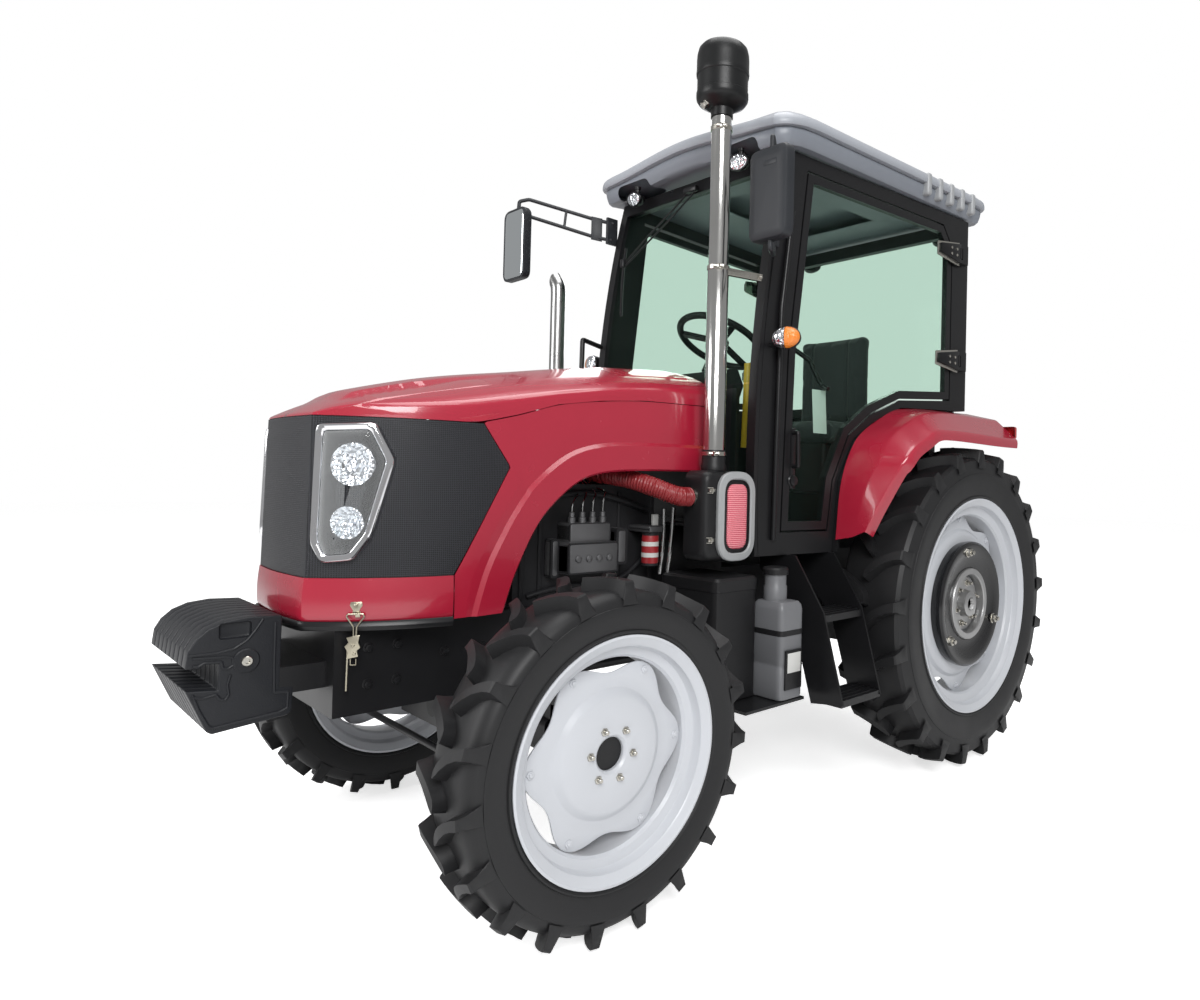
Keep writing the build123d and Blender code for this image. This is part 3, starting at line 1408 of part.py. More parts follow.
drawbar_z = 420.0
drawbar_hole_y = 560.0
drawbar_thickness = 30.0
casing_bottom_z = 500.0
with BuildPart() as drawbar:
    with BuildSketch(Plane.XY.offset(drawbar_z)):
        with Locations((0, back((40 + drawbar_hole_y) / 2))):
            Rectangle(76, drawbar_hole_y - 40)
        with Locations((0, back(drawbar_hole_y))):
            Circle(38)
            Circle(eye_radius, mode=Mode.SUBTRACT)
    extrude(amount=drawbar_thickness)
    with BuildSketch(Plane.XY.offset(drawbar_z + drawbar_thickness)):
        with Locations((0, back(120))):
            Rectangle(150, 140)
    extrude(amount=casing_bottom_z - drawbar_z - drawbar_thickness - seat_gap)
save(drawbar.part, "drawbar")
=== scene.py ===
import math

import bmesh
import bpy
from mathutils import Matrix, Vector


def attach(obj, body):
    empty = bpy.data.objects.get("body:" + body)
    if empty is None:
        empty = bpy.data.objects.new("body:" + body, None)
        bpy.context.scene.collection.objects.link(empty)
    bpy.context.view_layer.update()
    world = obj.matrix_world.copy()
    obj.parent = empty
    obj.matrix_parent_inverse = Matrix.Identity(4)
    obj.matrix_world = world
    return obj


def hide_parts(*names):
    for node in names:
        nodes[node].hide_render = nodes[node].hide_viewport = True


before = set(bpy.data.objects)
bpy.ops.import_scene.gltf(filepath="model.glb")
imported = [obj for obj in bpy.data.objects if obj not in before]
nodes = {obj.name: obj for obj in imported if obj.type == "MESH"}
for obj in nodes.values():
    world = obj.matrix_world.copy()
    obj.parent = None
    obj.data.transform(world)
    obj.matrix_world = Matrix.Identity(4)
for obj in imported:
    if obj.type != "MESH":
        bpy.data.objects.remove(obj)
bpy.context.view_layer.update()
scene = bpy.context.scene

# ---------------------------------------------------------------- camera, floor and light
# The tractor stands on a pale studio floor. It is seen from its front left corner, at cab-floor height.
camera_place = Vector((2.485, -2.410, 1.248))
camera_turn, camera_lift, camera_roll = math.radians(44.04), math.radians(-0.735), math.radians(1.362)
backwards = Vector(
    (
        math.sin(camera_turn) * math.cos(camera_lift),
        -math.cos(camera_turn) * math.cos(camera_lift),
        math.sin(camera_lift),
    )
)
level = Vector((math.cos(camera_turn), math.sin(camera_turn), 0))
upright = backwards.cross(level)
right = level * math.cos(camera_roll) + upright * math.sin(camera_roll)
up = upright * math.cos(camera_roll) - level * math.sin(camera_roll)
lens = bpy.data.cameras.new("camera")
lens.sensor_width = 36
lens.lens = 23.845
lens.shift_x = -0.1097
lens.shift_y = -0.0264
lens.clip_end = 200
camera = bpy.data.objects.new("camera", lens)
scene.collection.objects.link(camera)
camera.matrix_world = Matrix.Translation(camera_place) @ Matrix(
    (right, up, backwards)
).transposed().to_4x4()
scene.camera = camera
scene.view_settings.view_transform = "Standard"


def node_material(name):
    """A new material, its node tree and its surface shader."""
    material = bpy.data.materials.new(name)
    material.use_nodes = True
    tree = material.node_tree
    return material, tree, tree.nodes["Principled BSDF"]


def add_node(tree, kind, **values):
    """A shader node with its inputs set; an underscore in a name stands for a space."""
    node = tree.nodes.new("ShaderNode" + kind)
    for name, value in values.items():
        node.inputs[name.replace("_", " ")].default_value = value
    return node


bpy.ops.object.select_all(action="DESELECT")
bpy.ops.mesh.primitive_plane_add(size=60, location=(0, 0, 0))
floor = bpy.context.object
floor.name = "floor"
floor_material, floor_tree, floor_shader = node_material("studio_floor")
floor_shader.inputs["Base Color"].default_value = (0.86, 0.86, 0.86, 1)
floor_shader.inputs["Roughness"].default_value = 0.9
# seen directly or through glass, the floor is plain white under its own shadow
paths = add_node(floor_tree, "LightPath")
white = add_node(floor_tree, "Emission", Strength=0.66)
blend_floor = add_node(floor_tree, "AddShader")
floor_mix = add_node(floor_tree, "MixShader")
floor_tree.links.new(floor_shader.outputs[0], blend_floor.inputs[0])
floor_tree.links.new(white.outputs[0], blend_floor.inputs[1])
floor_tree.links.new(paths.outputs["Is Camera Ray"], floor_mix.inputs[0])
floor_tree.links.new(floor_shader.outputs[0], floor_mix.inputs[1])
floor_tree.links.new(blend_floor.outputs[0], floor_mix.inputs[2])
floor_tree.links.new(floor_mix.outputs[0], floor_tree.nodes["Material Output"].inputs[0])
floor.data.materials.append(floor_material)

world = bpy.data.worlds.new("studio")
world.use_nodes = True
scene.world = world
sky = world.node_tree.nodes["Background"]
sky.inputs["Color"].default_value = (1, 1, 1, 1)
sky.inputs["Strength"].default_value = 0.38
backdrop = add_node(world.node_tree, "Background", Color=(1, 1, 1, 1))
world_paths = add_node(world.node_tree, "LightPath")
world_mix = add_node(world.node_tree, "MixShader")
either = add_node(world.node_tree, "Math")
either.operation = "MAXIMUM"
world.node_tree.links.new(world_paths.outputs["Is Camera Ray"], either.inputs[0])
world.node_tree.links.new(world_paths.outputs["Is Transmission Ray"], either.inputs[1])
world.node_tree.links.new(either.outputs[0], world_mix.inputs[0])
world.node_tree.links.new(sky.outputs[0], world_mix.inputs[1])
world.node_tree.links.new(backdrop.outputs[0], world_mix.inputs[2])
world.node_tree.links.new(world_mix.outputs[0], world.node_tree.nodes["World Output"].inputs[0])

# columns: name, place, what it faces, size, power
lamps = [
    ("key", (5.5, -4.0, 4.6), (0.2, -0.4, 1.2), 3.2, 420),
    ("front", (-2.5, -7.0, 3.2), (0, -1.0, 1.0), 3.4, 230),
    ("top", (0.5, 0.0, 7.0), (0, 0, 0.5), 4.5, 260),
    ("back", (-5.0, 5.0, 4.5), (0, 0.5, 1.2), 4.0, 200),
]
for name, place, target, size, power in lamps:
    light = bpy.data.lights.new(name, "AREA")
    light.energy = power
    light.size = size
    lamp = bpy.data.objects.new(name, light)
    scene.collection.objects.link(lamp)
    lamp.location = place
    lamp.rotation_euler = (Vector(target) - Vector(place)).to_track_quat("-Z", "Y").to_euler()

# ---------------------------------------------------------------- tyres
# Bias-ply drive tyres of black rubber. Each half of the tread carries curved lugs that run from the
# middle over the shoulder and end square on the side. The halves are staggered by half a pitch.
front_axle = Vector((0.702, -1.060, 0.488))
rear_axle = Vector((0.661, 0.940, 0.708))


def start_piece():
    """Leaves edit mode and clears the selection before a new primitive is added."""
    if bpy.context.object and bpy.context.object.mode == "EDIT":
        bpy.ops.object.mode_set(mode="OBJECT")
    bpy.ops.object.select_all(action="DESELECT")


def hold(piece):
    """Makes one piece the only selected one."""
    start_piece()
    piece.select_set(True)
    bpy.context.view_layer.objects.active = piece


def take(piece):
    """Makes one piece the only selected one, and opens it in edit mode with all of it selected."""
    hold(piece)
    bpy.ops.object.mode_set(mode="EDIT")
    bpy.ops.mesh.select_all(action="SELECT")


def pick(rule, kind="VERT"):
    """Selects the vertices or faces whose place, and normal for faces, meet a rule."""
    piece = bpy.context.object
    bpy.ops.mesh.select_mode(type=kind)
    bpy.ops.mesh.select_all(action="DESELECT")
    mesh = bmesh.from_edit_mesh(piece.data)
    world = piece.matrix_world
    if kind == "FACE":
        for face in mesh.faces:
            face.select_set(bool(rule(world @ face.calc_center_median(), world.to_3x3() @ face.normal)))
    elif kind == "EDGE":
        for edge in mesh.edges:
            edge.select_set(bool(rule(world @ edge.verts[0].co, world @ edge.verts[1].co)))
    else:
        for vertex in mesh.verts:
            vertex.select_set(bool(rule(world @ vertex.co)))
        mesh.select_flush_mode()
    bmesh.update_edit_mesh(piece.data)


def seal_piece(name, smooth=35):
    """Ends the modelling of a piece: faces outwards, its place in its mesh, edges sharp past an angle."""
    if bpy.context.object.mode != "EDIT":
        bpy.ops.object.mode_set(mode="EDIT")
    bpy.ops.mesh.select_all(action="SELECT")
    bpy.ops.mesh.remove_doubles(threshold=0.00005)
    bpy.ops.mesh.normals_make_consistent(inside=False)
    bpy.ops.object.mode_set(mode="OBJECT")
    bpy.ops.object.transform_apply(location=True, rotation=True, scale=True)
    piece = bpy.context.object
    piece.name = name
    piece.data.name = name
    if smooth:
        bpy.ops.object.shade_smooth_by_angle(angle=math.radians(smooth))
    return piece


def change(piece, kind, **settings):
    """Adds a modifier with its settings and applies it."""
    modifier = piece.modifiers.new(kind.lower(), kind)
    for setting, value in settings.items():
        setattr(modifier, setting, value)
    bpy.ops.object.modifier_apply(modifier=modifier.name)


def turn_on_lathe(centre, profile, steps, ends=False):
    """A body turned about an axle along X: a circle extruded and resized through (offset, radius) rows."""
    start_piece()
    offset, radius = profile[0]
    bpy.ops.mesh.primitive_circle_add(
        vertices=steps,
        radius=radius,
        location=centre + Vector((offset, 0, 0)),
        rotation=(0, math.pi / 2, 0),
        fill_type="NGON" if ends else "NOTHING",
    )
    bpy.ops.object.mode_set(mode="EDIT")
    bpy.ops.mesh.select_all(action="SELECT")
    for next_offset, next_radius in profile[1:]:
        bpy.ops.mesh.extrude_edges_move(TRANSFORM_OT_translate={"value": (next_offset - offset, 0, 0)})
        share = next_radius / radius
        bpy.ops.transform.resize(
            value=(1, share, share), center_override=centre + Vector((next_offset, 0, 0)),
        )
        offset, radius = next_offset, next_radius
    if ends:
        bpy.ops.mesh.edge_face_add()
    bpy.ops.object.mode_set(mode="OBJECT")
    return bpy.context.object


def join_pieces(*pieces):
    """One piece from several."""
    start_piece()
    for piece in pieces:
        piece.select_set(True)
    bpy.context.view_layer.objects.active = pieces[0]
    if len(pieces) > 1:
        bpy.ops.object.join()
    return bpy.context.object


def other_side(piece, name):
    """The same piece, mirrored to the tractor's right side."""
    hold(piece)
    bpy.ops.object.duplicate()
    other = bpy.context.object
    bpy.ops.transform.resize(value=(-1, 1, 1), center_override=(0, 0, 0))
    bpy.ops.object.transform_apply(location=True, rotation=True, scale=True)
    bpy.ops.object.mode_set(mode="EDIT")
    bpy.ops.mesh.select_all(action="SELECT")
    bpy.ops.mesh.normals_make_consistent(inside=False)
    bpy.ops.object.mode_set(mode="OBJECT")
    other.name = name
    other.data.name = name
    return other


def fit_piece(piece, material, body, slot, *stands_for):
    """Gives a piece its finish and its body, and hides the plain solids that it stands for; the slot is not
    used.
    """
    piece.data.materials.clear()
    piece.data.materials.append(material)
    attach(piece, body)
    if stands_for:
        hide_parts(*stands_for)


def finish(name, smooth, material, body, slot, *stands_for, of=()):
    """Joins a piece's parts, ends its modelling and fits it."""
    if of:
        join_pieces(*of)
    piece = seal_piece(name, smooth)
    fit_piece(piece, material, body, slot, *stands_for)
    return piece


def finish_pair(name, smooth, material, body, slot, *stands_for, of=()):
    """As finish, with the same piece on the right for what is on the left."""
    piece = finish(name, smooth, material, body, slot, *stands_for, of=of)
    right_solids = [solid.replace("left", "right") for solid in stands_for if "left" in solid]
    other = other_side(piece, name.replace("left", "right"))
    fit_piece(other, material, body.replace("left", "right"), slot, *right_solids)
    return piece


def repeat_round(piece, axle, count, turned=0.0):
    """Repeats a piece round an axle along X."""
    take(piece)
    if turned:
        bpy.ops.transform.rotate(value=turned, orient_axis="X", center_override=axle)
    bpy.ops.mesh.spin(
        steps=count - 1, dupli=True, angle=2 * math.pi * (count - 1) / count, center=axle, axis=(1, 0, 0)
    )
    bpy.ops.object.mode_set(mode="OBJECT")
    return piece


def noisy(tree, scale, low, high, detail=4.0):
    """Fine mottling on the object's own coordinates, as a number between two values."""
    place = add_node(tree, "TexCoord")
    cloud = add_node(tree, "TexNoise", Scale=scale, Detail=detail)
    spread = add_node(tree, "MapRange", To_Min=low, To_Max=high)
    tree.links.new(place.outputs["Object"], cloud.inputs["Vector"])
    tree.links.new(cloud.outputs["Fac"], spread.inputs["Value"])
    return spread.outputs["Result"], cloud


def colour_between(tree, shader, share, low, high):
    """Gives a finish a colour between two."""
    tint = tree.nodes.new("ShaderNodeMix")
    tint.data_type = "RGBA"
    tint.inputs["A"].default_value = low
    tint.inputs["B"].default_value = high
    tree.links.new(share, tint.inputs["Factor"])
    tree.links.new(tint.outputs["Result"], shader.inputs["Base Color"])


def surface_relief(tree, shader, height, strength, distance):
    """Gives a finish a fine relief."""
    bump = add_node(tree, "Bump", Strength=strength, Distance=distance)
    tree.links.new(height, bump.inputs["Height"])
    tree.links.new(bump.outputs["Normal"], shader.inputs["Normal"])


def coated(name, colour, roughness, metal=0.0, grain=180.0, relief=0.05, coat=0.0, darker=0.75, shine=0.5):
    """A solid finish with slight mottling, uneven gloss and a fine surface texture."""
    material, tree, shader = node_material(name)
    shader.inputs["Metallic"].default_value = metal
    shader.inputs["Specular IOR Level"].default_value = shine if max(colour) > 0.1 else min(shine, 0.3)
    if coat:
        shader.inputs["Coat Weight"].default_value = coat
        shader.inputs["Coat Roughness"].default_value = 0.06
    gloss, cloud = noisy(tree, 9.0, roughness * 0.8, min(1.0, roughness * 1.25))
    tree.links.new(gloss, shader.inputs["Roughness"])
    colour_between(tree, shader, cloud.outputs["Fac"], [c * darker for c in colour] + [1], list(colour) + [1])
    grit = noisy(tree, grain, 0, 1)[0]
    surface_relief(tree, shader, grit, relief, 0.002)
    return material


# Lug sections from the middle to the shoulder.
# columns: share of the half width, place along the tread, width of the top, drop of the top, depth
lug_sections = [
    (-0.04, -0.066, 0.016, 0.000, 1.00),
    (0.00, -0.062, 0.030, 0.000, 1.00),
    (0.10, -0.050, 0.034, 0.000, 1.00),
    (0.26, -0.034, 0.031, 0.001, 1.00),
    (0.50, -0.016, 0.027, 0.003, 1.00),
    (0.76, -0.003, 0.026, 0.006, 1.00),
    (0.94, 0.002, 0.028, 0.009, 1.00),
    (0.972, 0.003, 0.028, 0.013, 0.97),
    (0.990, 0.004, 0.031, 0.034, 0.70),
    (1.000, 0.005, 0.036, 0.058, 0.32),
]


def lug(axle, tip, half, height, scale):
    """One lug at the top of the tyre, extruded section by section from the middle over the shoulder."""

    def top_place(share, along, width, drop):
        # the top's far corner lies on the tyre's tip circle
        far = (abs(along) + width / 2) * scale
        reach = math.sqrt(tip**2 - far**2) - drop * scale
        return Vector((axle.x + share * half, axle.y + along * scale, axle.z + reach))

    start_piece()
    share, along, width, drop, deep = lug_sections[0]
    depth = height + 0.010
    top = top_place(share, along, width, drop)
    middle = top - Vector((0, 0, depth / 2))
    bpy.ops.mesh.primitive_plane_add(size=1, location=middle, rotation=(0, math.pi / 2, 0))
    bpy.ops.object.mode_set(mode="EDIT")
    bpy.ops.transform.resize(value=(1, width * scale, depth), center_override=middle)
    pick(lambda place: place.z < middle.z)
    bpy.ops.transform.resize(value=(1, 1.45, 1), center_override=middle)
    bpy.ops.mesh.select_all(action="SELECT")
    for next_share, next_along, next_width, next_drop, next_deep in lug_sections[1:]:
        next_top = top_place(next_share, next_along, next_width, next_drop)
        bpy.ops.mesh.extrude_region_move(TRANSFORM_OT_translate={"value": next_top - top})
        bpy.ops.transform.resize(value=(1, next_width / width, next_deep / deep), center_override=next_top)
        top, width, deep = next_top, next_width, next_deep
    bpy.ops.object.mode_set(mode="OBJECT")
    return bpy.context.object


# columns: end, axle, tip radius, half width, flange radius, rim's half width, lug height, lugs, scale, steps
tyres = [
    ("front", front_axle, 0.488, 0.108, 0.330, 0.100, 0.036, 19, 1.0, 114),
    ("rear", rear_axle, 0.708, 0.150, 0.474, 0.141, 0.044, 21, 1.35, 126),
]
rubber = coated("tyre_rubber", (0.014, 0.014, 0.015), 0.46, grain=260, relief=0.06)
for end, axle, tip, half, flange, rim_half, height, count, scale, steps in tyres:
    crown = tip - height
    bulge = (flange + crown) / 2 + 0.006
    # half of the casing's section. columns: offset from the middle, radius
    wall = [
        (rim_half - 0.012, flange - 0.006),
        (rim_half - 0.001, flange + 0.004),
        (rim_half + 0.003, flange + 0.010),
        (rim_half + 0.003, flange + 0.014),
        (rim_half - 0.001, flange + 0.016),
        (rim_half + 0.001, flange + 0.022),
        (half - 0.003, bulge - 0.018),
        (half, bulge),
        (half - 0.0015, bulge + 0.014),
        (half - 0.0035, bulge + 0.015),
        (half - 0.006, bulge + 0.028),
        (half - 0.012, crown - 0.018),
        (half - 0.026, crown - 0.006),
        (half * 0.55, crown - 0.001),
        (half * 0.2, crown),
    ]
    profile = [(-x, r) for x, r in wall] + [(x, r) for x, r in reversed(wall)]
    casing = turn_on_lathe(axle, profile, steps)
    near_lug = lug(axle, tip, half, height, scale)
    bpy.ops.object.duplicate()
    far_lug = bpy.context.object
    bpy.ops.transform.resize(value=(-1, 1, 1), center_override=axle)
    repeat_round(near_lug, axle, count)
    repeat_round(far_lug, axle, count, math.pi / count)
    join_pieces(casing, near_lug, far_lug)
    tyre = seal_piece(f"{end}_left_tyre", 30)
    other = other_side(tyre, f"{end}_right_tyre")
    fit_piece(tyre, rubber, f"wheel_{end}_left", "tyre_rubber", f"tyre_{end}_left")
    fit_piece(other, rubber, f"wheel_{end}_right", "tyre_rubber", f"tyre_{end}_right")

# ---------------------------------------------------------------- front wheels
# Pressed steel wheels, painted white. The rim is rolled with a drop centre, and the wavy disc is bolted
# by its six lobes to lugs inside the rim and by six studs to the hub.
white_paint = coated("white_wheel_paint", (0.50, 0.515, 0.545), 0.30, grain=90, relief=0.02, darker=0.96)
bright_zinc = coated("bright_zinc", (0.55, 0.53, 0.48), 0.25, metal=1.0, grain=120, relief=0.05)


def rolled_rim(axle, half, flange, drop, steps):
    """Rim of rolled plate: its section from one flange across the drop centre to the other, given a wall."""
    edge = [
        (half - 0.003, flange - 0.001),
        (half, flange),
        (half + 0.0005, flange - 0.004),
        (half - 0.004, flange - 0.009),
        (half - 0.010, flange - 0.024),
        (half - 0.014, flange - 0.028),
        (half - 0.036, flange - 0.032),
        (half - 0.042, flange - 0.036),
        (half - 0.050, drop + 0.006),
        (half - 0.058, drop),
    ]
    section = edge + [(-x, r) for x, r in reversed(edge)]
    turn_on_lathe(axle, section, steps)
    rim = bpy.context.object
    change(rim, "SOLIDIFY", thickness=0.005, offset=0)
    return rim


def wavy_disc(axle, dish, steps, middle, swing, wall):
    """Pressed disc: its edge swings between lobes and hollows, once in every sixteen steps of its turn."""
    disc = turn_on_lathe(axle, dish, steps)
    edge = dish[-1][1]
    bpy.ops.object.mode_set(mode="EDIT")
    for share in range(9):

        def in_wave(place, share=share):
            radius = math.hypot(place.y - axle.y, place.z - axle.z)
            angle = math.atan2(place.z - axle.z, place.y - axle.y)
            step = round(angle / (2 * math.pi) * steps) % 16
            return radius > edge - 0.006 and min(step, 16 - step) == share

        pick(in_wave)
        reach = (middle + swing * math.cos(share / 8 * math.pi)) / edge
        bpy.ops.transform.resize(value=(1, reach, reach), center_override=axle)
    bpy.ops.object.mode_set(mode="OBJECT")
    change(disc, "SOLIDIFY", thickness=wall, offset=-1)
    change(disc, "BEVEL", width=0.0015, segments=2, limit_method="ANGLE")
    return disc


def hexagon_bolt(place, radius, length, washer=True):
    """Bolt along X: washer, chamfered hexagon head and the end of its thread."""
    rows = [
        (0, radius * 0.05), (0, radius * 1.25), (radius * 0.16, radius * 1.25),
        (radius * 0.2, radius * 1.15),
    ]
    flat = turn_on_lathe(place, rows + [(radius * 0.2, radius * 0.1)], 20)
    start_piece()
    bpy.ops.mesh.primitive_cylinder_add(
        vertices=6,
        radius=radius,
        depth=radius * 0.8,
        location=place + Vector((radius * 0.6, 0, 0)),
        rotation=(0, math.pi / 2, 0),
    )
    head = bpy.context.object
    bpy.ops.object.mode_set(mode="EDIT")
    pick(lambda centre, normal: normal.x > 0.9, "FACE")
    bpy.ops.mesh.bevel(offset=radius * 0.14, segments=2)
    bpy.ops.object.mode_set(mode="OBJECT")
    rows = [(radius, radius * 0.52), (length, radius * 0.52), (length + radius * 0.1, radius * 0.42)]
    thread = turn_on_lathe(place, rows + [(length + radius * 0.1, radius * 0.02)], 14)
    return join_pieces(*([flat] if washer else []), head, thread)


rim = rolled_rim(front_axle, 0.100, 0.330, 0.266, 120)
disc_x = 0.745 - front_axle.x
# columns: offset from the wheel's middle, radius
dish = [
    (disc_x - 0.012, 0.052),
    (disc_x - 0.004, 0.052),
    (disc_x, 0.056),
    (disc_x, 0.150),
    (disc_x - 0.004, 0.162),
    (disc_x - 0.014, 0.172),
    (disc_x - 0.017, 0.180),
    (disc_x - 0.017, 0.212),
    (disc_x - 0.019, 0.238),
]
disc = wavy_disc(front_axle, dish, 96, 0.241, 0.022, 0.007)
finish_pair(
    "front_left_wheel", 32, white_paint, "wheel_front_left", "rim_white", "rim_front_left", of=(rim, disc),
)

# wheel nuts on the hub, and the bolts of the lobes
nut = hexagon_bolt(front_axle + Vector((disc_x, 0.0725, 0)), 0.0115, 0.022)
repeat_round(nut, front_axle, 6, math.radians(8))
finish_pair("front_left_wheel_nuts", 30, bright_zinc, "wheel_front_left", "chrome")
bolt = hexagon_bolt(front_axle + Vector((disc_x - 0.019, 0.243, 0)), 0.012, 0.014)
repeat_round(bolt, front_axle, 6)
finish_pair("front_left_lobe_bolts", 30, white_paint, "wheel_front_left", "rim_white")

# ---------------------------------------------------------------- rear wheels
# Larger wheels of the same kind with a deep dished rim. A round cast weight, painted black, is bolted on
# each disc, round the bare ring and the bolts of the hub.
rim = rolled_rim(rear_axle, 0.141, 0.474, 0.400, 132)
disc_x = 0.716 - rear_axle.x
dish = [
    (disc_x - 0.012, 0.100),
    (disc_x - 0.002, 0.100),
    (disc_x, 0.104),
    (disc_x, 0.300),
    (disc_x - 0.006, 0.318),
    (disc_x - 0.020, 0.330),
    (disc_x - 0.022, 0.342),
    (disc_x - 0.022, 0.372),
]
disc = wavy_disc(rear_axle, dish, 128, 0.376, 0.026, 0.008)
finish_pair(
    "rear_left_wheel", 32, white_paint, "wheel_rear_left", "rim_white", "rim_rear_left", of=(rim, disc),
)
bolt = hexagon_bolt(rear_axle + Vector((disc_x - 0.022, 0.378, 0)), 0.014, 0.018)
repeat_round(bolt, rear_axle, 8)
finish_pair("rear_left_lobe_bolts", 30, white_paint, "wheel_rear_left", "rim_white")

weight_black = coated("weight_enamel", (0.008, 0.008, 0.009), 0.22, grain=260, relief=0.10, coat=0.4)
machined_steel = coated("machined_steel", (0.42, 0.42, 0.42), 0.3, metal=0.8, grain=300, relief=0.06)
# columns: offset from the disc's face, radius
section = [
    (0.002, 0.268),
    (0.010, 0.276),
    (0.036, 0.281),
    (0.052, 0.279),
    (0.060, 0.270),
    (0.061, 0.262),
    (0.050, 0.226),
    (0.043, 0.204),
    (0.041, 0.164),
    (0.038, 0.160),
]
turn_on_lathe(rear_axle + Vector((disc_x, 0, 0)), section, 128)
finish_pair("rear_left_weight", 30, weight_black, "wheel_rear_left", "black_casting", "hub_rear_left")
section = [
    (0.038, 0.161),
    (0.048, 0.160),
    (0.0515, 0.157),
    (0.0515, 0.134),
    (0.048, 0.131),
    (0.030, 0.129),
    (0.012, 0.128),
]
ring = turn_on_lathe(rear_axle + Vector((disc_x, 0, 0)), section, 96)
section = [(0.020, 0.062), (0.020, 0.118), (0.016, 0.122), (0.004, 0.122)]
flange = turn_on_lathe(rear_axle + Vector((disc_x, 0, 0)), section, 48)
section = [
    (0.020, 0.062), (0.034, 0.058), (0.052, 0.056), (0.055, 0.050), (0.055, 0.030), (0.040, 0.024),
    (0.040, 0.001),
]
cap = turn_on_lathe(rear_axle + Vector((disc_x, 0, 0)), section, 48)
finish_pair(
    "rear_left_hub_ring", 30, machined_steel, "wheel_rear_left", "chrome", of=(ring, flange, cap),
)
bolt = hexagon_bolt(rear_axle + Vector((disc_x + 0.020, 0, 0.092)), 0.013, 0.026)
repeat_round(bolt, rear_axle, 6, math.radians(15))
big_bolt = hexagon_bolt(rear_axle + Vector((disc_x + 0.052, 0, 0.236)), 0.019, 0.030)
repeat_round(big_bolt, rear_axle, 3, math.radians(-8))
finish_pair(
    "rear_left_hub_bolts", 30, bright_zinc, "wheel_rear_left", "chrome", of=(bolt, big_bolt),
)

# ---------------------------------------------------------------- hood
# Pressed steel panels in gloss crimson: a crowned top that hinges at the back, and two sides whose
# flanged arches clear the front wheels. They meet in a narrow seam. The top has a low raised middle.
red_paint = coated(
    "crimson_paint", (0.34, 0.012, 0.032), 0.25, grain=60, relief=0.008, coat=0.6, darker=0.94,
)


def dress(material, *names):
    """Gives solids that keep their shape a finish of their own."""
    for name in names:
        nodes[name].data.materials.clear()
        nodes[name].data.materials.append(material)


# the inner panel, with the arms that reach back to the hinge, stays as built under the skin
inner_red = coated("inner_crimson", (0.36, 0.012, 0.03), 0.28, grain=60, relief=0.01, coat=0.8, darker=0.92)
dress(inner_red, "hood_top")


def shaped_grid(columns, rows, rule, wall=0.0, level=0):
    """A sheet that starts as a grid and is drawn to its form, then thickened inwards and rounded."""
    start_piece()
    bpy.ops.mesh.primitive_grid_add(x_subdivisions=columns, y_subdivisions=rows, size=2, location=(0, 0, 0))
    piece = bpy.context.object
    for vertex in piece.data.vertices:
        vertex.co = rule((vertex.co.x + 1) / 2, (vertex.co.y + 1) / 2)
    if level:
        change(piece, "SUBSURF", levels=level, render_levels=level)
    if wall:
        change(piece, "SOLIDIFY", thickness=wall, offset=-1)
    return piece


def along(rows, share):
    """Place on a line through stations, smooth between them. columns: share of the way, then a place."""
    last = len(rows) - 2
    at = max(k for k in range(last + 1) if rows[k][0] <= share or k == 0)
    start, end = rows[at], rows[at + 1]
    span = end[0] - start[0]
    part = min(1.0, max(0.0, (share - start[0]) / span))
    before = rows[at - 1] if at > 0 else start
    after = rows[at + 2] if at < last else end
    place = []
    for axis in range(1, len(start)):
        entry = (end[axis] - before[axis]) / max(1e-6, end[0] - before[0]) * span
        exit = (after[axis] - start[axis]) / max(1e-6, after[0] - start[0]) * span
        square, cube = part * part, part * part * part
        place.append(
            start[axis] * (2 * cube - 3 * square + 1)
            + entry * (cube - 2 * square + part)
            + end[axis] * (3 * square - 2 * cube)
            + exit * (cube - square)
        )
    return place


def straight(rows, share):
    """Place on a line through stations, straight between them."""
    at = max([k for k in range(len(rows) - 1) if rows[k][0] <= share] or [0])
    start, end = rows[at], rows[at + 1]
    part = (share - start[0]) / (end[0] - start[0])
    return [a + (b - a) * part for a, b in zip(start[1:], end[1:])]


def step_up(value, start, end):
    """Rises smoothly from 0 to 1 between two values."""
    part = min(1.0, max(0.0, (value - start) / (end - start)))
    return part * part * (3 - 2 * part)


# the nose is an arc in plan
nose_centre = Vector((-0.2371, -1.2493))
nose_radius = 0.5892
hood_back = -0.302


def hood_side(y, z):
    """Half width of the hood at a place along it and a height."""
    spread = 0.014 * (1.393 - z) / 0.561
    if y > -1.235:
        return 0.352 + spread
    return nose_centre.x + math.sqrt(max(0.0, nose_radius**2 - (y - nose_centre.y) ** 2)) + spread


def nose_plan(share):
    """Outline of the hood in plan, from the left rear corner round the nose to the right rear corner."""
    side = 1 if share < 0.5 else -1
    part = min(share, 1 - share) * 2
    if part < 0.45:
        y = hood_back + (-1.235 - hood_back) * part / 0.45
        return side * 0.352, y
    if part < 0.85:
        lean = (part - 0.45) / 0.40 * math.radians(42.8) - math.radians(-1.4)
        return side * (
            nose_centre.x + nose_radius * math.cos(lean)
        ), nose_centre.y - nose_radius * math.sin(lean)
    corner = nose_centre.x + nose_radius * math.cos(math.radians(44.2))
    front = nose_centre.y - nose_radius * math.sin(math.radians(44.2))
    bow = (part - 0.85) / 0.15
    return side * corner * (1 - bow), front - 0.012 * math.sin(bow * math.pi / 2)


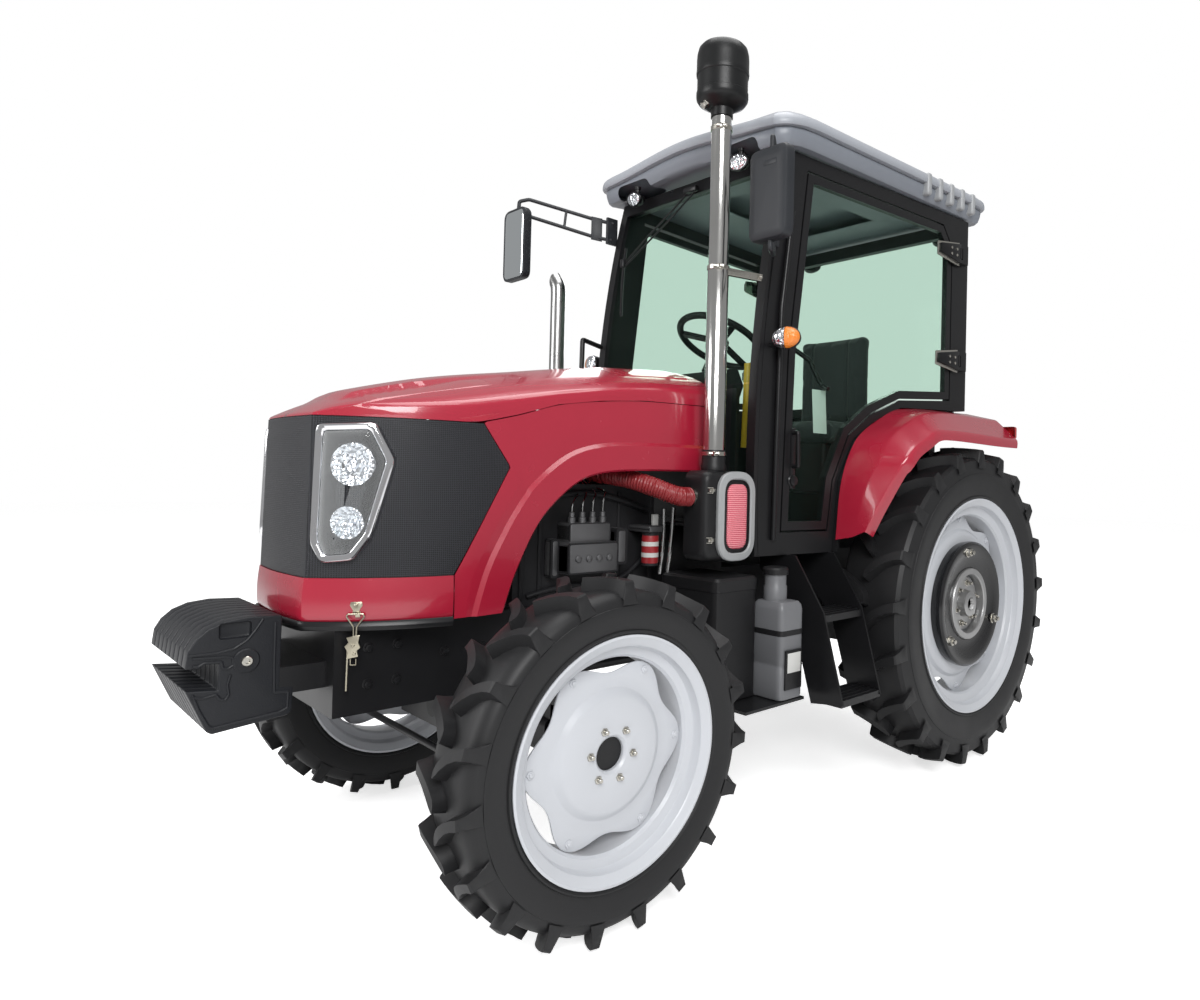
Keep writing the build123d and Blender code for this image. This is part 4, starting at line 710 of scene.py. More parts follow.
# columns: place along, height of the crown, drop to the shoulders
crown = [
    (-1.670, 1.402, 0.010),
    (-1.600, 1.440, 0.020),
    (-1.515, 1.474, 0.030),
    (-1.225, 1.548, 0.040),
    (-0.900, 1.612, 0.044),
    (-0.620, 1.652, 0.046),
    (-0.300, 1.673, 0.048),
]
# columns: place along, height of the seam between the top and the sides
seam = [
    (-1.700, 1.3935),
    (-1.300, 1.3935),
    (-1.250, 1.3975),
    (-1.134, 1.4265),
    (-0.993, 1.4690),
    (-0.827, 1.4945),
    (-0.644, 1.5105),
    (-0.302, 1.5165),
]


def hood_top_form(u, v):
    # v runs from the seam on one side, over the crown's middle, to the seam on the other side
    inwards = min(v, 1 - v) * 2
    x, y = nose_plan(u * 0.5 if v <= 0.5 else 1 - u * 0.5)
    seam_z = straight(seam, y)[0]
    # columns: way inwards, share of the way to the middle
    reach = straight(
        [(0, 0.0), (0.12, 0.004), (0.22, 0.012), (0.30, 0.035), (0.40, 0.10), (0.52, 0.24), (1, 1.0)],
        inwards,
    )[0]
    middle_y = max(y, -1.35 + (y + 1.662) * 0.05)
    px = x * (1 - reach)
    py = y + (middle_y - y) * reach
    top, drop = along(crown, py)
    roof = top - drop * (px / 0.25) ** 2
    edge = seam_z + (roof - seam_z) * straight(
        [(0, 0.0), (0.12, 0.40), (0.22, 0.72), (0.30, 0.88), (0.40, 0.97), (0.52, 1.0), (1, 1.0)], inwards
    )[0]
    raise_by = 0.012 * step_up(
        0.155 - abs(px), 0.0, 0.016,
    ) * step_up(-0.95 - py, 0.0, 0.40) * step_up(py, -1.585, -1.535)
    return px, py, edge + raise_by


top = shaped_grid(120, 73, hood_top_form, wall=-0.005)
finish("hood_top_skin", 30, red_paint, "hood", "body_red")

# columns: share of the way back, place along, height of the arch
arch_line = [
    (0.00, -1.180, 0.836),
    (0.17, -1.134, 0.959),
    (0.36, -1.052, 1.107),
    (0.50, -0.945, 1.206),
    (0.62, -0.849, 1.249),
    (0.77, -0.682, 1.266),
    (1.00, -0.302, 1.269),
]
# columns: as above, for the panel's front and upper edges
upper_line = [
    (0.00, -1.328, 0.833),
    (0.10, -1.328, 0.955),
    (0.22, -1.243, 1.111),
    (0.36, -1.158, 1.267),
    (0.43, -1.248, 1.395),
    (0.49, -1.134, 1.4235),
    (0.57, -0.993, 1.4660),
    (0.68, -0.827, 1.4915),
    (0.81, -0.644, 1.5075),
    (1.00, -0.302, 1.5135),
]


def side_form(u, v):
    arch_y, arch_z = along(arch_line, u)
    if u > 0.43:
        top_y, top_z = along([row for row in upper_line if row[0] >= 0.43], u)
    else:
        top_y, top_z = straight(upper_line, u)
    span = math.hypot(top_y - arch_y, top_z - arch_z)
    # rows: the flange along the arch, its step, and the plain panel above
    flange, step = 0.086 / span, 0.012 / span
    rows = [(0, 0.0), (0.06, 0.006 / span), (0.22, flange), (0.30, flange + step), (1, 1.0)]
    part = straight(rows, v)[0]
    y = arch_y + (top_y - arch_y) * part
    z = arch_z + (top_z - arch_z) * part
    proud = straight(
        [(0, 0.002), (0.06, 0.008), (0.22, 0.009), (0.30, -0.002), (0.55, 0.0), (1, 0.0)], v,
    )[0]
    return hood_side(y, z) + proud, y, z


side = shaped_grid(140, 50, side_form, wall=0.005)
side = seal_piece("hood_left_side", 28)
right_side = other_side(side, "hood_right_side")
fit_piece(side, red_paint, "hood", "body_red", "hood_sides")
fit_piece(right_side, red_paint, "hood", "body_red")


def band_form(u, v):
    start = 0.2553
    x, y = nose_plan(start + (1 - 2 * start) * u)
    z = 0.832 + 0.123 * v
    # the band bows outwards and tucks in at its foot
    bow = 0.004 * math.sin(math.pi * v) - 0.010 * step_up(0.12 - v, 0, 0.12)
    out = Vector((x, y + 1.25)).normalized() * (0.012 * (1.393 - z) / 0.561 + bow)
    return x + out.x, y + out.y, z


shaped_grid(90, 14, band_form, wall=0.005)
finish("front_band_skin", 30, red_paint, "hood", "body_red", "front_band")

# ---------------------------------------------------------------- grille
# One sheet of black perforated steel, bent round the nose under the hood's edge and held in its frame.
grille_steel, tree, shader = node_material("perforated_black_steel")
uv = add_node(tree, "UVMap")
uv.uv_map = "UVMap"
spots = add_node(tree, "TexVoronoi", Scale=190, Randomness=0.0)
spots.voronoi_dimensions = "2D"
tree.links.new(uv.outputs["UV"], spots.inputs["Vector"])
# the holes are not cut: each spot is painted near-black as the shade seen through a hole, and the relief
# presses it in
hole = add_node(tree, "MapRange", From_Min=0.30, From_Max=0.42)
tree.links.new(spots.outputs["Distance"], hole.inputs["Value"])
colour_between(tree, shader, hole.outputs["Result"], (0.0015, 0.0015, 0.002, 1), (0.022, 0.023, 0.028, 1))
shader.inputs["Roughness"].default_value = 0.38
shader.inputs["Specular IOR Level"].default_value = 0.35
surface_relief(tree, shader, hole.outputs["Result"], 0.5, 0.001)


def grille_form(u, v):
    # the side edges follow the hood's side panels
    z = 0.9565 + (1.3915 - 0.9565) * v
    edge_y = straight([(0.955, -1.332), (1.267, -1.162), (1.395, -1.252)], z)[0]
    part = min(u, 1 - u) * 2
    lean_end = math.asin(max(-1, min(1, (nose_centre.y - edge_y) / nose_radius)))
    lean_start = math.radians(44.2)
    side = 1 if u < 0.5 else -1
    spread = 0.014 * (1.393 - z) / 0.561 - 0.003
    if part < 0.7:
        if edge_y > -1.235:
            flat = 0.12
            if part < flat:
                y = edge_y + (-1.235 - edge_y) * part / flat
                return side * (0.352 + spread), y, z
            lean = math.radians(-1.4) + (lean_start - math.radians(-1.4)) * (part - flat) / (0.7 - flat)
        else:
            lean = lean_end + (lean_start - lean_end) * part / 0.7
        reach = nose_radius + spread
        return side * (nose_centre.x + reach * math.cos(lean)), nose_centre.y - reach * math.sin(lean), z
    corner = nose_centre.x + (nose_radius + spread) * math.cos(lean_start)
    front = nose_centre.y - (nose_radius + spread) * math.sin(lean_start)
    bow = (part - 0.7) / 0.3
    return side * corner * (1 - bow), front - 0.012 * math.sin(bow * math.pi / 2), z


grille = shaped_grid(120, 40, grille_form, wall=0.004)
take(grille)
bpy.ops.uv.cube_project(cube_size=1.0, correct_aspect=False, scale_to_bounds=False)
finish("grille_sheet", 30, grille_steel, "hood", "black_mesh", "grille")

# ---------------------------------------------------------------- headlights
# A lamp on each corner of the nose: a chromed plastic bezel with seven sides stands proud of the grille,
# round a black dish with an upper and a lower reflector, all behind one clear moulded lens.
lamp_origin = Vector((0.273, -1.598, 0))
lamp_across = Vector((math.cos(math.radians(46)), math.sin(math.radians(46)), 0))
lamp_outwards = Vector((math.sin(math.radians(46)), -math.cos(math.radians(46)), 0))
# columns: place across the lamp, height
bezel_corners = [
    (-0.088, 1.369), (0.062, 1.378), (0.111, 1.275), (0.062, 1.066),
    (0.020, 1.004), (-0.062, 0.996), (-0.091, 1.051),
]
chrome_plastic = coated(
    "chromed_plastic", (0.80, 0.80, 0.82), 0.07, metal=1.0, grain=30, relief=0.01, darker=0.93,
)
lamp_black = coated("lamp_black", (0.006, 0.006, 0.007), 0.22, grain=120, relief=0.02, coat=0.5)

lens_clear, tree, shader = node_material("clear_moulded_lens")
shader.inputs["Base Color"].default_value = (0.92, 0.94, 0.95, 1)
shader.inputs["Roughness"].default_value = 0.04
shader.inputs["IOR"].default_value = 1.45
clear = add_node(tree, "BsdfTransparent", Color=(0.93, 0.95, 0.96, 1))
mixed = add_node(tree, "MixShader")
facing = add_node(tree, "LayerWeight", Blend=0.35)
share = add_node(tree, "MapRange", To_Min=0.10, To_Max=0.85)
tree.links.new(facing.outputs["Facing"], share.inputs["Value"])
tree.links.new(share.outputs["Result"], mixed.inputs[0])
tree.links.new(clear.outputs[0], mixed.inputs[1])
tree.links.new(shader.outputs[0], mixed.inputs[2])
tree.links.new(mixed.outputs[0], tree.nodes["Material Output"].inputs[0])

faceted_silver, tree, shader = node_material("faceted_reflector")
shader.inputs["Base Color"].default_value = (0.80, 0.82, 0.86, 1)
shader.inputs["Metallic"].default_value = 1.0
shader.inputs["Roughness"].default_value = 0.12
place = add_node(tree, "TexCoord")
cells = add_node(tree, "TexVoronoi", Scale=75)
tree.links.new(place.outputs["Object"], cells.inputs["Vector"])
surface_relief(tree, shader, cells.outputs["Distance"], 0.9, 0.006)


def narrowed(corners, amount):
    """The corners of a convex outline after each of its edges moves inwards."""
    moved = []
    for k, corner in enumerate(corners):
        before, after = Vector(corners[k - 1]), Vector(corners[(k + 1) % len(corners)])
        here = Vector(corner)
        first, second = (here - before).normalized(), (after - here).normalized()
        middle = (first + second).normalized()
        inwards = Vector((middle.y, -middle.x))
        moved.append(here + inwards * amount / max(0.3, inwards.dot(Vector((first.y, -first.x)))))
    return moved


def round_outline(corners, share, rounding):
    """Place on an outline with rounded corners, for a share of the way round it."""
    count = len(corners)
    at = share * count
    k = int(at) % count
    part = at - int(at)
    here, after = Vector(corners[k]), Vector(corners[(k + 1) % count])
    further, before = Vector(corners[(k + 2) % count]), Vector(corners[k - 1])
    length = (after - here).length
    cut = min(0.45, rounding / length)
    if part < cut:
        bend = part / cut / 2 + 0.5
        start = here + (before - here).normalized() * rounding
        end = here + (after - here) * cut
        return start * (1 - bend) ** 2 + here * 2 * bend * (1 - bend) + end * bend**2
    if part > 1 - cut:
        bend = (part - 1 + cut) / cut / 2
        start = after + (here - after) * cut
        end = after + (further - after).normalized() * rounding
        return start * (1 - bend) ** 2 + after * 2 * bend * (1 - bend) + end * bend**2
    return here + (after - here) * part


def on_nose(across, height, out):
    """Place at some distance outside the nose, in front of a place across the lamp."""
    start = lamp_origin + lamp_across * across
    reach = nose_radius + 0.014 * (1.393 - height) / 0.561 + out
    off = Vector((start.x - nose_centre.x, start.y - nose_centre.y, 0))
    along_normal = off.dot(lamp_outwards)
    run = -along_normal + math.sqrt(max(0.0, along_normal**2 - off.length_squared + reach**2))
    place = start + lamp_outwards * run
    return place.x, place.y, height


def lamp_part(name, rows, material, slot, steps=112):
    """A ring or cover of the lamp. columns of its rows: how far inwards, how far out of the nose."""
    rows = [(k / (len(rows) - 1), *row) for k, row in enumerate(rows)]

    def form(u, v):
        inwards, out = straight(rows, v)
        across, height = round_outline(
            narrowed(bezel_corners, inwards), u, max(0.004, 0.016 - inwards * 0.2),
        )
        return on_nose(across, height, out)

    piece = shaped_grid(steps, len(rows) - 1, form)
    seal_piece(name, 40)
    fit_piece(piece, material, "hood", slot)
    return piece


rows = [
    (0.0, -0.004), (0.0, 0.014), (0.002, 0.020), (0.005, 0.0225), (0.016, 0.0215), (0.019, 0.019),
    (0.0205, 0.0125),
]
bezel = lamp_part("left_headlight_bezel", rows, chrome_plastic, "chrome")
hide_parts("headlights")
dish = lamp_part(
    "left_headlight_dish", [(0.0195, 0.014), (0.026, 0.0125), (0.028, 0.002), (0.055, 0.0012)], lamp_black,
    "lamp_glass",
)
rows = [(0.021, 0.0165), (0.024, 0.0185), (0.038, 0.0205), (0.060, 0.0215), (0.084, 0.0218)]
lens = lamp_part("left_headlight_lens", rows, lens_clear, "lamp_glass")


def turned(place, axis, rows, steps=32):
    """A body turned about any axis: a disc extruded and resized through (height, radius) rows, and closed."""
    start_piece()
    axis = Vector(axis).normalized()
    height, radius = rows[0]
    bpy.ops.mesh.primitive_circle_add(
        vertices=steps,
        radius=radius,
        location=Vector(place) + axis * height,
        rotation=axis.to_track_quat("Z", "Y").to_euler(),
        fill_type="NGON",
    )
    bpy.ops.object.mode_set(mode="EDIT")
    bpy.ops.mesh.select_all(action="SELECT")
    for next_height, next_radius in rows[1:]:
        bpy.ops.mesh.extrude_region_move(TRANSFORM_OT_translate={"value": axis * (next_height - height)})
        share = next_radius / radius
        bpy.ops.transform.resize(
            value=(share, share, share), center_override=Vector(place) + axis * next_height,
        )
        height, radius = next_height, next_radius
    bpy.ops.object.mode_set(mode="OBJECT")
    return bpy.context.object


reflectors = []
# columns: place across, height, radius
for across, height, radius in [(0.008, 1.262, 0.058), (0.0, 1.105, 0.044)]:
    middle = Vector(on_nose(across, height, 0.0))
    rows = [
        (0.0012, radius), (0.015, radius), (0.015, radius * 0.93), (0.006, radius * 0.55),
        (0.004, radius * 0.24),
    ]
    reflectors.append(
        turned(middle, lamp_outwards, rows + [(0.012, radius * 0.18), (0.013, radius * 0.02)], 36)
    )
reflector = finish("left_headlight_reflectors", 25, faceted_silver, "hood", "lamp_glass", of=reflectors)
for piece, material, slot in (
    (bezel, chrome_plastic, "chrome"),
    (dish, lamp_black, "lamp_glass"),
    (lens, lens_clear, "lamp_glass"),
    (reflector, faceted_silver, "lamp_glass"),
):
    fit_piece(other_side(piece, piece.name.replace("left", "right")), material, "hood", slot)

# ---------------------------------------------------------------- hood latch
# A zinc toggle latch on each side of the nose: a catch riveted to the red band, a bent wire loop, the
# clamp below it and its long rod down to the frame.
zinc = coated("yellow_zinc", (0.50, 0.46, 0.36), 0.30, metal=1.0, grain=240, relief=0.08, darker=0.7)


def bent_tube(name, points, radius, sides=3, steps=8, order=3):
    """A round bar or tube along a smooth line; two corners close together make a tight bend."""
    start_piece()
    bpy.ops.curve.primitive_nurbs_path_add(location=(0, 0, 0))
    curve = bpy.context.object
    curve.data.splines.clear()
    spline = curve.data.splines.new("NURBS")
    spline.points.add(len(points) - 1)
    for point, place in zip(spline.points, points):
        point.co = (*place, 1)
    spline.order_u = order
    spline.use_endpoint_u = True
    curve.data.resolution_u = steps
    curve.data.bevel_depth = radius
    curve.data.bevel_resolution = sides
    curve.data.use_fill_caps = True
    bpy.ops.object.convert(target="MESH")
    piece = bpy.context.object
    piece.name = name
    return piece


def with_bends(corners, bend):
    """Corners of a bent bar, each given a point before and after it so that the runs stay straight."""
    points = [Vector(corners[0])]
    for k in range(1, len(corners) - 1):
        before, here, after = (Vector(corners[k + step]) for step in (-1, 0, 1))
        points += [
            here + (before - here).normalized() * bend, here, here + (after - here).normalized() * bend,
        ]
    return points + [Vector(corners[-1])]


def slab(corners, push, edge=0.0, segments=2):
    """A flat plate: a face whose corners are moved to their places, extruded, its edges rounded."""
    start_piece()
    bpy.ops.mesh.primitive_circle_add(
        vertices=len(corners), radius=0.1, fill_type="NGON", location=(0, 0, 0),
    )
    piece = bpy.context.object
    for vertex, corner in zip(piece.data.vertices, corners):
        vertex.co = corner
    bpy.ops.object.mode_set(mode="EDIT")
    bpy.ops.mesh.select_all(action="SELECT")
    bpy.ops.mesh.extrude_region_move(TRANSFORM_OT_translate={"value": push})
    bpy.ops.mesh.select_all(action="SELECT")
    bpy.ops.mesh.normals_make_consistent(inside=False)
    bpy.ops.object.mode_set(mode="OBJECT")
    if edge:
        change(
            piece, "BEVEL", width=edge, segments=segments, limit_method="ANGLE", angle_limit=math.radians(20)
        )
    return piece


lean = math.radians(31.5)
catch_out = Vector((math.cos(lean), -math.sin(lean), 0))
catch_along = Vector((math.sin(lean), math.cos(lean), 0))
catch = Vector((nose_centre.x, nose_centre.y, 0)) + catch_out * (nose_radius + 0.016)


def on_catch(along, height, out=0.0):
    return catch + catch_along * along + catch_out * out + Vector((0, 0, height))


hook = [
    (-0.014, 0.893), (0.014, 0.893), (0.016, 0.884), (0.008, 0.870), (0.010, 0.858), (-0.010, 0.858),
    (-0.008, 0.870), (-0.016, 0.884),
]
catch_plate = slab([on_catch(a, z) for a, z in hook], catch_out * 0.004, 0.001)
nose_hook = slab(
    [
        on_catch(0, 0.868, 0.003), on_catch(0, 0.862, 0.014), on_catch(0, 0.853, 0.012),
        on_catch(0, 0.857, 0.003),
    ],
    catch_along * 0.012, 0.001,
)
loop = [(0, 0.862), (-0.019, 0.862), (-0.022, 0.855), (-0.004, 0.828), (-0.003, 0.796)]
wire = []
for turn in (1, -1):
    line = [on_catch(turn * a, z, 0.011) for a, z in loop]
    wire.append(bent_tube("wire", with_bends(line, 0.004), 0.0021, 2))
clamp = [
    (-0.017, 0.800), (0.017, 0.806), (0.013, 0.786), (0.019, 0.772), (0.010, 0.764), (0.014, 0.748),
    (-0.016, 0.742), (-0.012, 0.760), (-0.021, 0.776), (-0.011, 0.786),
]
clamp_plate = slab([on_catch(a - 0.004, z, 0.004) for a, z in clamp], catch_out * 0.009, 0.0016)
frame_low = [(-0.010, 0.742), (-0.010, 0.726), (0.004, 0.726), (0.004, 0.742)]
stirrup = bent_tube("stirrup", with_bends([on_catch(a, z, 0.008) for a, z in frame_low], 0.003), 0.0018, 2)
rod = bent_tube(
    "rod", [on_catch(-0.018, 0.775, 0.003), on_catch(-0.019, 0.70, 0.003), on_catch(-0.020, 0.655, 0.0)],
    0.0028, 3,
)
rivets = [
    turned(on_catch(a, z, 0.003), catch_out, [(0, 0.0045), (0.011, 0.0045), (0.0125, 0.003)], 14)
    for a, z in ((0, 0.885), (-0.004, 0.778), (0.0, 0.756))
]
finish_pair(
    "left_hood_latch", 35, zinc, "hood", "chrome",
    of=(catch_plate, nose_hook, *wire, clamp_plate, stirrup, rod, *rivets),
)

# ---------------------------------------------------------------- front weights
# Nine iron castings hung side by side on the frame's tongue and drawn together by a long bolt. Each has
# rounded edges, a hand slot, and a keyhole notch open at the front; the outer faces carry cast ridges.
weight_iron = coated("weight_casting", (0.013, 0.014, 0.017), 0.44, grain=300, relief=0.22)
# columns: place along, height
weight_outline = [
    (-1.721, 0.862), (-1.800, 0.866), (-1.852, 0.860), (-1.888, 0.845), (-1.913, 0.822), (-1.928, 0.795),
    (-1.933, 0.752), (-1.906, 0.748), (-1.897, 0.757), (-1.862, 0.757), (-1.862, 0.690), (-1.931, 0.698),
    (-1.884, 0.590), (-1.872, 0.5825), (-1.702, 0.598), (-1.692, 0.608), (-1.689, 0.672), (-1.722, 0.676),
]
plates = [slab([(-0.152, y, z) for y, z in weight_outline], (0.040, 0, 0), 0.004, 3)]
for k in range(1, 7):
    hold(plates[0])
    bpy.ops.object.duplicate()
    bpy.ops.transform.translate(value=(0.044 * k, 0, 0))
    plates.append(bpy.context.object)
finish("inner_front_weights", 35, weight_iron, "chassis", "black_casting", "front_weights", of=plates)

outer = slab([(0.156, y, z) for y, z in weight_outline], (0.040, 0, 0), 0.004, 3)
start_piece()
bpy.ops.mesh.primitive_cube_add(size=1, location=(0.196, -1.828, 0.8355))
cutter = bpy.context.object
cutter.scale = (0.024, 0.073, 0.041)
bpy.ops.object.transform_apply(location=False, rotation=False, scale=True)
change(cutter, "BEVEL", width=0.008, segments=4)
hold(outer)
change(outer, "BOOLEAN", object=cutter, operation="DIFFERENCE")
bpy.data.objects.remove(cutter)
# cast ridges. columns: place along, height
ridges = [
    [(-1.926, 0.784), (-1.870, 0.783), (-1.830, 0.789), (-1.800, 0.808), (-1.782, 0.832), (-1.766, 0.858)],
    [
        (-1.918, 0.776), (-1.846, 0.771), (-1.832, 0.768), (-1.830, 0.748), (-1.842, 0.741),
        (-1.853, 0.744), (-1.856, 0.760), (-1.893, 0.763), (-1.905, 0.756), (-1.918, 0.757),
    ],
    [
        (-1.918, 0.682), (-1.892, 0.676), (-1.866, 0.681), (-1.858, 0.668), (-1.846, 0.664),
        (-1.838, 0.676), (-1.842, 0.700), (-1.836, 0.725),
    ],
    [
        (-1.872, 0.598), (-1.720, 0.610), (-1.703, 0.618), (-1.702, 0.660), (-1.735, 0.664),
        (-1.737, 0.735), (-1.737, 0.846),
    ],
    [(-1.916, 0.688), (-1.900, 0.644), (-1.880, 0.604), (-1.868, 0.597)],
]
cast = [outer]
for line in ridges:
    corners = [(0.1950, y, z) for y, z in line]
    cast.append(bent_tube("ridge", with_bends(corners, 0.006), 0.0042, 2, 3))
boss = [(0, 0.031), (0.005, 0.031), (0.0075, 0.028), (0.0075, 0.020)]
cast.append(turned((0.1935, -1.802, 0.756), (1, 0, 0), boss, 32))
finish_pair("left_outer_weight", 30, weight_iron, "chassis", "black_casting", of=cast)
bolt = turned(
    (0.1955, -1.802, 0.756), (1, 0, 0),
    [
        (0, 0.019), (0.004, 0.019), (0.005, 0.0125), (0.012, 0.0125), (0.0135, 0.011), (0.0135, 0.0065),
        (0.008, 0.006),
    ], 28,
)
finish_pair("left_weight_bolt", 30, bright_zinc, "chassis", "chrome")

# ---------------------------------------------------------------- front frame and axle
# Welded plate and castings under the nose, painted black: the side frame with the weights' tongue, the
# driven front axle with its steering knuckles, and the rod that ties them.
cast_black = coated("black_casting", (0.012, 0.012, 0.013), 0.42, grain=320, relief=0.18)
black_paint = coated("black_enamel", (0.010, 0.010, 0.011), 0.30, grain=220, relief=0.04)

dress(cast_black, "front_axle", "knuckle_left", "knuckle_right", "transmission")
dress(black_paint, "front_frame", "tie_rod", "drive_shaft", "radiator")


def lip_form(u, v):
    start = 0.2553
    x, y = nose_plan(start + (1 - 2 * start) * u)
    z = 0.822 + 0.012 * v
    out = Vector((x, y + 1.25)).normalized() * (0.012 + 0.004 * math.sin(math.pi * v))
    return x + out.x, y + out.y, z


shaped_grid(90, 4, lip_form, wall=0.010)
finish("band_rubber_lip", 30, black_paint, "hood", "black_plastic")
# bolts that hold the frame's side plates to the nose casting. columns: place along, height
heads = []
for y, z in [
    (-1.52, 0.66), (-1.52, 0.76), (-1.44, 0.66), (-1.44, 0.76), (-1.30, 0.72), (-1.18, 0.72), (-0.98, 0.70),
    (-0.93, 0.77),
]:
    heads.append(hexagon_bolt(Vector((0.2500, y, z)), 0.011, 0.010))
finish_pair("left_frame_bolts", 30, black_paint, "chassis", "black_steel", of=heads)

# ---------------------------------------------------------------- engine
# A diesel engine of cast iron painted dark grey, seen through the hood's open arches: on its left side
# are an in-line injection pump with its steel pipes, a spin-on fuel filter and bright water tubes.
engine_iron = coated("engine_iron", (0.020, 0.020, 0.022), 0.5, metal=0.2, grain=240, relief=0.3)
pump_alloy = coated("pump_alloy", (0.16, 0.16, 0.165), 0.42, metal=0.7, grain=320, relief=0.25)
steel_tube = coated(
    "bright_steel_tube", (0.60, 0.60, 0.60), 0.18, metal=1.0, grain=60, relief=0.02, darker=0.85,
)
filter_red = coated("filter_red", (0.32, 0.02, 0.025), 0.35, grain=150, relief=0.03)
label_white = coated("blank_white_sleeve", (0.62, 0.62, 0.60), 0.5, grain=150, relief=0.02)
dress(engine_iron, "engine")


def block(low, high, edge=0.006, segments=3):
    """A cast or moulded block: a cube stretched between two corners, all its edges rounded."""
    start_piece()
    middle = [(a + b) / 2 for a, b in zip(low, high)]
    bpy.ops.mesh.primitive_cube_add(size=1, location=middle)
    piece = bpy.context.object
    piece.scale = [b - a for a, b in zip(low, high)]
    bpy.ops.object.transform_apply(location=False, rotation=False, scale=True)
    bpy.ops.object.mode_set(mode="EDIT")
    bpy.ops.mesh.select_all(action="SELECT")
    bpy.ops.mesh.bevel(offset=edge, segments=segments, profile=0.5)
    bpy.ops.object.mode_set(mode="OBJECT")
    return piece


# columns: low corner, high corner, rounding
castings = [
    ((0.160, -0.880, 0.9125), (0.2630, -0.672, 1.0190), 0.010),
    ((0.160, -0.862, 1.010), (0.2390, -0.690, 1.0850), 0.008),
    ((0.160, -0.672, 0.934), (0.2490, -0.6215, 1.063), 0.014),
    ((0.160, -0.9125, 0.899), (0.2070, -0.878, 1.031), 0.012),
    ((0.150, -0.552, 1.0445), (0.2840, -0.486, 1.0690), 0.006),
]
bodies = [block(*row) for row in castings]
for k in range(4):
    y = -0.842 + k * 0.043
    bodies.append(
        turned(
            (0.2180, y, 1.080), (0, 0, 1),
            [(0, 0.013), (0.022, 0.013), (0.024, 0.010), (0.040, 0.010), (0.042, 0.006)], 12,
        )
    )
    bodies.append(turned((0.2620, y, 0.965), (1, 0, 0), [(0, 0.012), (0.006, 0.012), (0.008, 0.008)], 12))
finish("injection_pump", 35, pump_alloy, "chassis", "engine_iron", of=bodies)
pipes = []
for k in range(4):
    y = -0.842 + k * 0.043
    corners = [
        (0.218, y, 1.115), (0.218, y, 1.150 + k * 0.006), (0.200, y + 0.03, 1.175 + k * 0.006),
        (0.150, y + 0.09 - k * 0.03, 1.205), (0.1, y + 0.09 - k * 0.03, 1.24),
    ]
    pipes.append(bent_tube("pipe", corners, 0.0032, 2))
# columns: corners of a water tube
for corners in (
    [(0.280, -0.435, 1.135), (0.280, -0.438, 1.05), (0.280, -0.450, 0.95), (0.275, -0.455, 0.885)],
    [(0.258, -0.463, 1.130), (0.258, -0.460, 1.05), (0.260, -0.470, 0.95), (0.255, -0.475, 0.890)],
):
    pipes.append(bent_tube("tube", corners, 0.0085, 3))
finish("engine_pipes", 40, steel_tube, "chassis", "chrome", of=pipes)
turned(
    (0.250, -0.519, 0.9235), (0, 0, 1),
    [(0, 0.020), (0.006, 0.029), (0.014, 0.0312), (0.105, 0.0312), (0.114, 0.029), (0.122, 0.029)], 36,
)
finish("fuel_filter", 35, filter_red, "chassis", "body_red")
bands = []
for z in (0.955, 0.995):
    bands.append(turned((0.250, -0.519, z), (0, 0, 1), [(0, 0.0318), (0.016, 0.0318)], 36))
bands.append(block((0.244, -0.512, 1.069), (0.256, -0.486, 1.110), 0.002))
finish("blank_filter_bands", 35, label_white, "chassis", "grey_plastic", of=bands)
# wiring looms and ribs across the block's side
looms = [
    bent_tube(
        "loom",
        [
            (0.168, -1.02, 1.10), (0.178, -0.95, 1.16), (0.180, -0.80, 1.19), (0.178, -0.62, 1.17),
            (0.172, -0.47, 1.12),
        ],
        0.011, 3,
    ),
    bent_tube(
        "loom",
        [
            (0.170, -0.98, 0.84), (0.182, -0.86, 0.87), (0.180, -0.70, 0.86), (0.176, -0.55, 0.88),
            (0.172, -0.45, 0.98),
        ],
        0.008, 3,
    ),
]
for y in (-1.00, -0.93, -0.60, -0.45):
    looms.append(block((0.160, y - 0.009, 0.83), (0.171, y + 0.009, 1.19), 0.004, 2))
finish("engine_looms_and_ribs", 35, engine_iron, "chassis", "engine_iron", of=looms)

# ---------------------------------------------------------------- intake hose
# A corrugated hose of red silicone rubber leads the filtered air from the air cleaner to the engine's
# top casing, and is held by a worm clamp at each end.
hose_red = coated("red_silicone", (0.25, 0.018, 0.022), 0.38, grain=200, relief=0.05)
hose = bent_tube(
    "intake_hose_red",
    [
        (0.430, -0.486, 1.180), (0.430, -0.520, 1.180), (0.428, -0.555, 1.183), (0.375, -0.605, 1.210),
        (0.290, -0.645, 1.238), (0.200, -0.670, 1.250), (0.082, -0.700, 1.262),
    ],
    0.0315, 7, 26,
)
# every second ring of the hose swells
mesh = hose.data
rings = {}
around = 16
for number, vertex in enumerate(mesh.vertices):
    rings.setdefault(number // around, []).append(vertex)
for number, ring in rings.items():
    if len(ring) < around:
        continue
    middle = sum((vertex.co for vertex in ring), Vector()) / len(ring)
    for vertex in ring:
        vertex.co = middle + (vertex.co - middle) * (1.075 if (number // 2) % 2 else 0.965)
finish("intake_hose_red", 60, hose_red, "chassis", "hose_red", "intake_duct")
clips = [
    turned((0.430, -0.4865, 1.180), (0, -1, 0), [(0, 0.0345), (0.012, 0.0345)], 36),
    turned((0.0945, -0.6975, 1.2605), (-0.95, 0.28, -0.10), [(0, 0.0345), (0.012, 0.0345)], 36),
]
finish("hose_clamps", 35, bright_zinc, "chassis", "chrome", of=clips)

